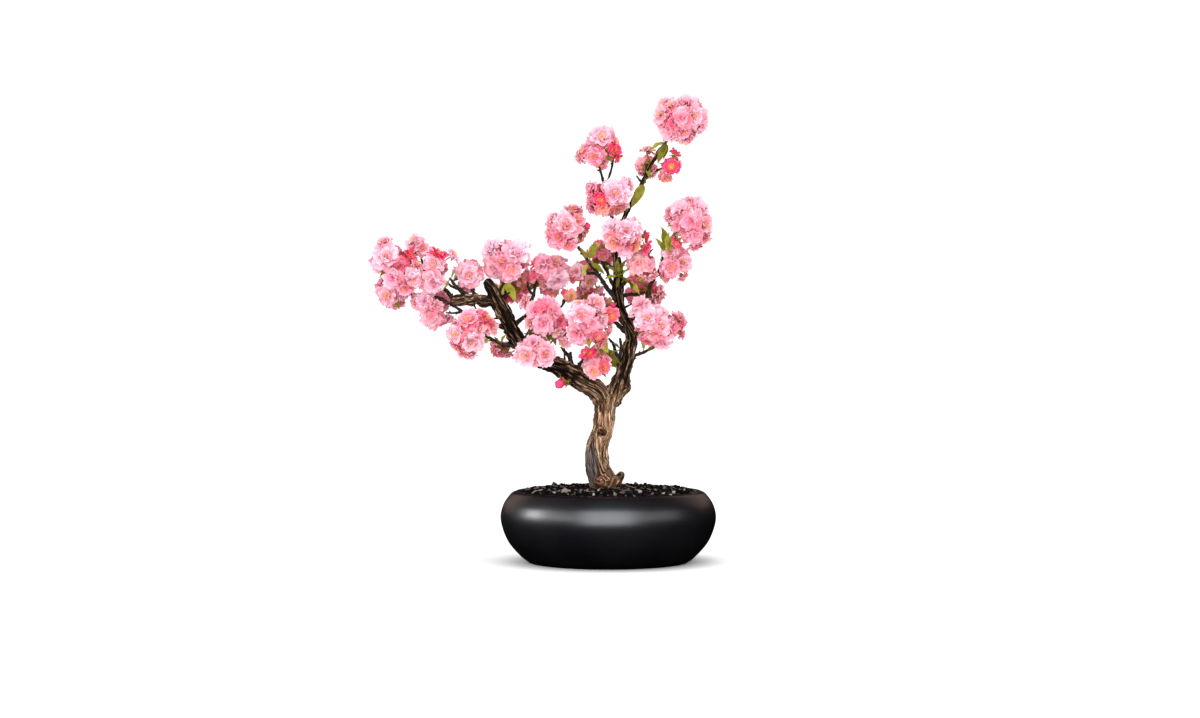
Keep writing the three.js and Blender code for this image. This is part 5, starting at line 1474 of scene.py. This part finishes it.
def add_petal(heap, points, u, v, seed, along, shade, tone):
    """Adds a petal's sheet, with the values that its finish reads."""
    cloth = for_sheet(np.stack([v + seed, u + seed, 0 * u], axis=-1))
    tones = np.tile(tone, (len(points), 1))
    rows, columns = u.shape[0] - 1, u.shape[1] - 1
    heap.add_sheet(points, rows, columns, along=for_sheet(along), shade=shade, tone=tones, cloth=cloth)


def pressed(own, offsets):
    """Offsets from a flower's heart, eased back where they would push far into a neighbour, and how
    much painted shade each place gets where flowers are pressed together, from 0 to 1."""
    share = np.ones(len(offsets))
    crowd_shade = np.zeros(len(offsets))
    for other in own["others"]:
        apart = other["centre"] - own["centre"]
        distance = np.linalg.norm(apart)
        limit = distance * own["radius"] / (own["radius"] + other["radius"])
        along = offsets @ (apart / distance)
        past = along > limit
        eased = limit + GIVE * (1 - np.exp(-(along[past] - limit) / GIVE))
        share[past] = np.minimum(share[past], eased / along[past])
        # Painted shade where a neighbour presses close, deepest at the boundary between the two flowers.
        crowd_shade = np.maximum(crowd_shade, np.clip(0.9 + (along - limit) / (CROWDED_RIM * own["radius"]), 0, 1))
    return offsets * share[:, None], crowd_shade


def bloom(heap, flower):
    """Open double flower, ring after ring of petals."""
    radius, own_seed = flower["radius"], flower["seed"]
    hot, warm, pale, dusk_shade = flower["tone"]
    tone = [hot, warm + between(0, 0.1, own_seed + 0.83), pale + between(-0.05, 0.15, own_seed + 0.29)]
    closing = between(-8, 16, own_seed + 0.37) + 14 * (hot > HOT)
    heart = 0.0 if shows_stamens(flower) else HEART
    rings = RINGS if radius > SMALL_RADIUS else SMALL_RINGS
    if hot > HOT:
        rings = CUP_RINGS
    for ring, (count, length, width, rise, curl, rows, columns) in enumerate(rings):
        at = own_seed + 3.1 * ring
        nod = pose_of(unit(np.array([*between(-0.2, 0.2, at + np.array([0.41, 0.47])), 1.0])))
        slip = radius * np.array([*between(-0.1, 0.1, at + np.array([0.52, 0.58])), 0.035 * ring - 0.30])
        for k in range(count):
            seed = own_seed * 7.3 + ring * 1.9 + k * 0.77
            size = between(0.82, 1.1, seed + 0.5)
            wide = radius * width * between(0.84, 1.14, seed + 0.7)
            steep = min(STEEPEST, rise + closing + between(-11, 11, seed + 0.6))
            curled = curl + between(-18, 18, seed + 0.8)
            grid, normals, u, v = petal(radius * length * size, wide, steep, curled, seed, rows, columns)
            turn = (k + 0.5 * ring + between(-0.22, 0.22, seed + 0.9)) * TURN / count
            points = thin(grid, normals, PETAL_THICKNESS) @ spin(turn).T @ nod.T + slip
            points, crowd_shade = pressed(flower, points @ flower["pose"].T)
            # Inner rings stop short of the pale rim, partly the petal's own colour and partly painted shade
            # inside the flower.
            reach = HEARTWARD[ring] * (0.82 + 0.18 * size)
            along = heart + u ** (1.7 + 0.3 * hot) * (reach - heart)
            # Shade: a little darker at random, the tone's share of painted shade, and painted shade where
            # flowers press on each other.
            shade = between(0, 0.16, seed + 0.95) + dusk_shade + 0.8 * crowd_shade
            add_petal(heap, flower["centre"] + points, u, v, seed, along, shade, tone)


def bud(heap, flower):
    """Round bud of tightly wrapped petals."""
    radius = flower["radius"]
    *tone, dusk_shade = flower["tone"]
    core = CHIP_POINTS * radius * np.array([0.7, 0.7, 0.85])
    tones = np.tile(tone, (len(core), 1))
    heap.add(on(flower, core), [CHIP_FACES], along=0.4, shade=0.3, tone=tones, cloth=core)
    length, width = radius * BUD_PETAL_LENGTH, radius * BUD_PETAL_WIDTH
    for k in range(BUD_PETALS):
        seed = flower["seed"] * 3.1 + k
        grid, normals, u, v = petal(length, width, 4, 150, seed, 6, 6)
        wrap = (np.abs(grid[..., 1]) / width) ** 2 * radius * 1.1
        grid = grid * (1 - 0.07 * (k // 3)) - np.stack([wrap, 0 * u, 0 * u], axis=-1)
        points = (thin(grid, normals, PETAL_THICKNESS) + [0.2, 0, -radius * 0.95]) @ spin(k * GOLDEN_TURN).T
        # A little darker at random, and the tone's share of painted shade.
        shade = between(0, 0.4, seed) + dusk_shade
        add_petal(heap, on(flower, points), u, v, seed, 0.35 + 0.4 * u, shade, tone)


def stamens(heap, flower):
    """Cushion in the heart of a flower, and its threads with their anthers."""
    radius = flower["radius"]
    cushion = CHIP_POINTS * radius * np.array([0.24, 0.24, 0.12]) - [0, 0, 0.24 * radius]
    heap.add(on(flower, cushion), [CHIP_FACES], along=0.3)
    for k in range(STAMENS):
        seed = flower["seed"] * 5.3 + k
        lean = between(0.06, 0.30, seed) * radius
        top = between(0.12, 0.36, seed + 0.4) * radius
        turn = k * GOLDEN_TURN
        tip = np.array([lean * math.cos(turn), lean * math.sin(turn), top])
        foot = np.array([0.3 * math.cos(turn), 0.3 * math.sin(turn), -0.28 * radius])
        middle = (foot + tip) / 2 + [0, 0, 0.06 * radius]
        points, faces = tube(np.array([foot, middle, tip]), [0.24, 0.2, 0.18], 3)
        heap.add(on(flower, points), faces, along=np.clip(points[:, 2] / radius + 0.3, 0, 0.7))
        anther = SEED_POINTS * [0.62, 0.62, 0.9] + tip
        heap.add(on(flower, anther), [SEED_FACES], along=between(0.8, 1.0, seed + 0.7))


def add_green(heap, points, faces, shade):
    """Adds a part without veins to a heap of leaves or sepals."""
    heap.add(points, faces, shade=shade, cloth=points * 0.1)


def sepal(heap, length, width, pose, centre, foot, turn, rise, shade):
    """Small pointed leaf under a flower or at a knot."""
    u, v = shares(3, 2)
    half = 0.5 * width * np.sin(math.pi * np.clip(u, 0.06, 1) ** 0.7) ** 0.8
    angle = math.radians(rise) - 0.5 * u
    x = length * u * np.cos(angle) + 0 * v
    z = length * u * np.sin(angle) + 0.35 * np.abs(v) * half
    grid = np.stack([x, v * half, z], axis=-1)
    normals = unit(np.cross(np.gradient(grid, axis=0), np.gradient(grid, axis=1) + 1e-6))
    points = (thin(grid, normals, SEPAL_THICKNESS) + foot) @ spin(turn).T @ pose.T + centre
    cloth = for_sheet(np.stack(np.broadcast_arrays(u, v, 0.0), axis=-1))
    heap.add_sheet(points, 3, 2, shade=shade, cloth=cloth)


def calyx(heap, flower):
    """Cup and sepals under a flower or bud, and its stalk."""
    radius, seed, way, knot = flower["radius"], flower["seed"], flower["way"], flower["knot"]
    is_open = flower["open"]
    top = -0.30 * radius if is_open else -0.9 * radius
    shade = between(0.1, 0.9, seed + 0.2)
    cup, faces = turned(np.array(CALYX_CUP) + [0, top], 8)
    heap.add(on(flower, cup), faces, shade=shade * 0.6, cloth=cup * 0.1)
    length = 7.0 if is_open else 6.0
    for k in range(SEPALS):
        rise = between(-8, 22, seed + k * 0.3) if is_open else 62
        turn, foot = (k + 0.3) * TURN / SEPALS, [1.6, 0, top - 1.0]
        sepal(heap, length, 3.4, flower["pose"], flower["centre"], foot, turn, rise, shade)
    foot = flower["centre"] + way * (top - 5.8)
    bow = unit(np.cross(foot - knot + 0.01, [0.3, 1.0, 0.2])) * between(-3, 3, seed + 0.44)
    route = np.array([knot, knot + 0.35 * (foot - knot) + bow, foot - way * 2.5 + 0.4 * bow, foot])
    path, radii, arc = evenly(np.column_stack([route, STALK_RADII]), 2.2)
    add_green(heap, *tube(path, radii, 6), shade * 0.7)


def knots(heap):
    """Scaly knob where the stalks of a bunch meet, with a few small bracts."""
    for number, entry in enumerate(BUNCHES.values()):
        knot = np.array(entry[0], float)
        add_green(heap, CHIP_POINTS * KNOT_SIZE + knot, [CHIP_FACES], 0.1)
        for k in range(BRACTS):
            seed = number * 13 + k
            pose = pose_of(direction(between(-180, 180, seed), between(-50, 60, seed + 0.3)))
            length, rise = between(7, 12, seed + 0.5), between(30, 70, seed + 0.6)
            shade = between(0.2, 1.0, seed + 0.8)
            sepal(heap, length, 4.2, pose, knot, [0, 0, 2.0], k * GOLDEN_TURN, rise, shade)


def blossoms():
    """Petals of each bunch as a piece, and all stamens and all green parts as one each."""
    everyone = flowers()
    for name in BUNCHES:
        heap = Heap()
        for flower in everyone:
            if flower["bunch"] == name:
                (bloom if flower["open"] else bud)(heap, flower)
        piece("petals_" + name, heap.mesh("petals_" + name), PETAL, ["blossom_" + name])
    hearts, green = Heap(), Heap()
    for flower in everyone:
        if shows_stamens(flower):
            stamens(hearts, flower)
        calyx(green, flower)
    knots(green)
    piece("stamens", hearts.mesh("stamens"), STAMEN, BLOSSOM_NODES)
    piece("calyxes", green.mesh("calyxes"), CALYX, BLOSSOM_NODES)


# Leaves

def leaf(heap, at, tip, seed):
    """Pointed, saw-edged leaf from a place on the wood to its tip, with its face to the viewer."""
    rows, columns = 2 * LEAF_TEETH, 6
    shade = between(0.05, 0.95, seed)
    roll = float(between(-LEAF_ROLL, LEAF_ROLL, seed + 0.2))
    tip = np.array([tip[0], -tip[1], tip[2]], float)
    length = np.linalg.norm(tip) - LEAF_STALK
    width = length * between(*LEAF_WIDENESS, seed + 0.6)
    u, v = shares(rows, columns)
    saw = 1 + LEAF_SAW * ((u * LEAF_TEETH) % 1 - 0.5) * (np.abs(v) > 0.9) * np.sin(math.pi * u)
    half = np.maximum(0.5 * width * np.sin(math.pi * u ** 0.8) ** 0.9 * saw, 0.12)
    ripple = LEAF_RIPPLE * width * np.sin(TURN * 2.6 * u + 2 * roll) * v * v
    y = v * half
    z = LEAF_FOLD * np.abs(y) - LEAF_ARCH * length * (u ** 2 - u) + ripple
    grid = np.stack([LEAF_STALK + length * u + 0 * v, y, z], axis=-1)
    normals = unit(np.cross(np.gradient(grid, axis=0), np.gradient(grid, axis=1)))
    along = unit(tip)
    side = unit(np.cross([0.0, -0.75 if tip[1] < 0 else 0.75, 0.65], along))
    side = side * math.cos(roll) + np.cross(along, side) * math.sin(roll)
    pose = np.stack([along, side, np.cross(along, side)], axis=1)
    points = thin(grid, normals, LEAF_THICKNESS) @ pose.T + at
    cloth = for_sheet(np.stack(np.broadcast_arrays(np.abs(v), u * 3 + np.abs(v) * 0.8, 0.0), axis=-1))
    heap.add_sheet(points, rows, columns, shade=shade, cloth=cloth)
    stalk = np.array([[0, 0, 0], [LEAF_STALK * 0.5, 0, 0.2], [LEAF_STALK + 2, 0, 0]], float) @ pose.T + at
    add_green(heap, *tube(stalk, [0.85, 0.65, 0.55], 6), shade * 0.6)


def leaves():
    """Each tuft of leaves as a piece, and the leaves in the bunches as one."""
    seed = 0.5
    for name, (at, tips) in TUFTS.items():
        heap = Heap()
        at = np.array(at, float)
        add_green(heap, CHIP_POINTS * TUFT_KNOB + at, [CHIP_FACES], 0.2)
        for tip in tips:
            leaf(heap, at, tip, seed)
            seed += 1
        piece("leaves_" + name, heap.mesh("leaves_" + name), LEAF, [name])
    heap = Heap()
    for bunch, tips in UNDER_FLOWERS:
        for tip in tips:
            leaf(heap, np.array(BUNCHES[bunch][0], float), tip, seed)
            seed += 1
    piece("leaves_in_bunches", heap.mesh("leaves_in_bunches"), LEAF, BLOSSOM_NODES)


# Stage

def lamp(name, place, aim, size, power, colour):
    """Soft box that points from its place to the aim."""
    light = bpy.data.lights.new(name, "AREA")
    light.shape = "RECTANGLE"
    light.size, light.size_y = size
    light.energy = power
    light.color = colour
    made = in_scene(name, light)
    made.location = place
    made.visible_camera = False
    made.rotation_euler = (Vector(aim) - Vector(place)).to_track_quat("-Z", "Y").to_euler()
    return made


def lamps(pot):
    """Lamps for all but the bowl, and lamps for the bowl alone, which show in its glaze."""
    all_but_bowl = bpy.data.collections.new("all_but_the_bowl")
    all_but_bowl.objects.link(pot)
    all_but_bowl.collection_objects[0].light_linking.link_state = "EXCLUDE"
    bowl_only = bpy.data.collections.new("bowl_only")
    bowl_only.objects.link(pot)
    for table, aim, lit in ((TREE_LAMPS, TREE_AIM, all_but_bowl), (BOWL_LAMPS, BOWL_AIM, bowl_only)):
        for name, place, size, power, colour in table:
            made = lamp(name, place, aim, size, power, colour)
            made.light_linking.receiver_collection = lit


def stage():
    """White floor and plain white world, which don't show in the glaze."""
    finish = Finish("floor", gloss=0.0, roughness=0.9)
    cloud = finish.noise(finish.place(), 3, 2)
    finish.colour(finish.ramp(cloud, [(0.3, (0.93, 0.93, 0.925)), (0.7, (0.95, 0.95, 0.945))]))
    mesh = bpy.data.meshes.new("floor")
    corners = [(x * FLOOR_HALF, y * FLOOR_HALF, 0) for x, y in ((-1, -1), (1, -1), (1, 1), (-1, 1))]
    mesh.from_pydata(corners, [], [(0, 1, 2, 3)])
    mesh.materials.append(finish.material)
    floor = in_scene("floor", mesh)
    floor.visible_glossy = False
    world = bpy.data.worlds.new("studio")
    bpy.context.scene.world = world
    world.use_nodes = True
    background = world.node_tree.nodes["Background"]
    background.inputs["Color"].default_value = (1, 1, 1, 1)
    background.inputs["Strength"].default_value = WORLD_LIGHT
    world.cycles_visibility.glossy = False


def camera():
    """Level camera in front of the tree."""
    lens = bpy.data.cameras.new("camera")
    lens.sensor_width = SENSOR
    lens.lens = LENS
    lens.clip_end = FARTHEST
    made = in_scene("camera", lens)
    made.location = CAMERA_PLACE
    made.rotation_euler = (math.pi / 2, 0, 0)
    bpy.context.scene.camera = made
    bpy.context.scene.view_settings.view_transform = "Standard"


pot = bowl()
camera()
stage()
lamps(pot)
gravel()
wood()
twigs()
blossoms()
leaves()
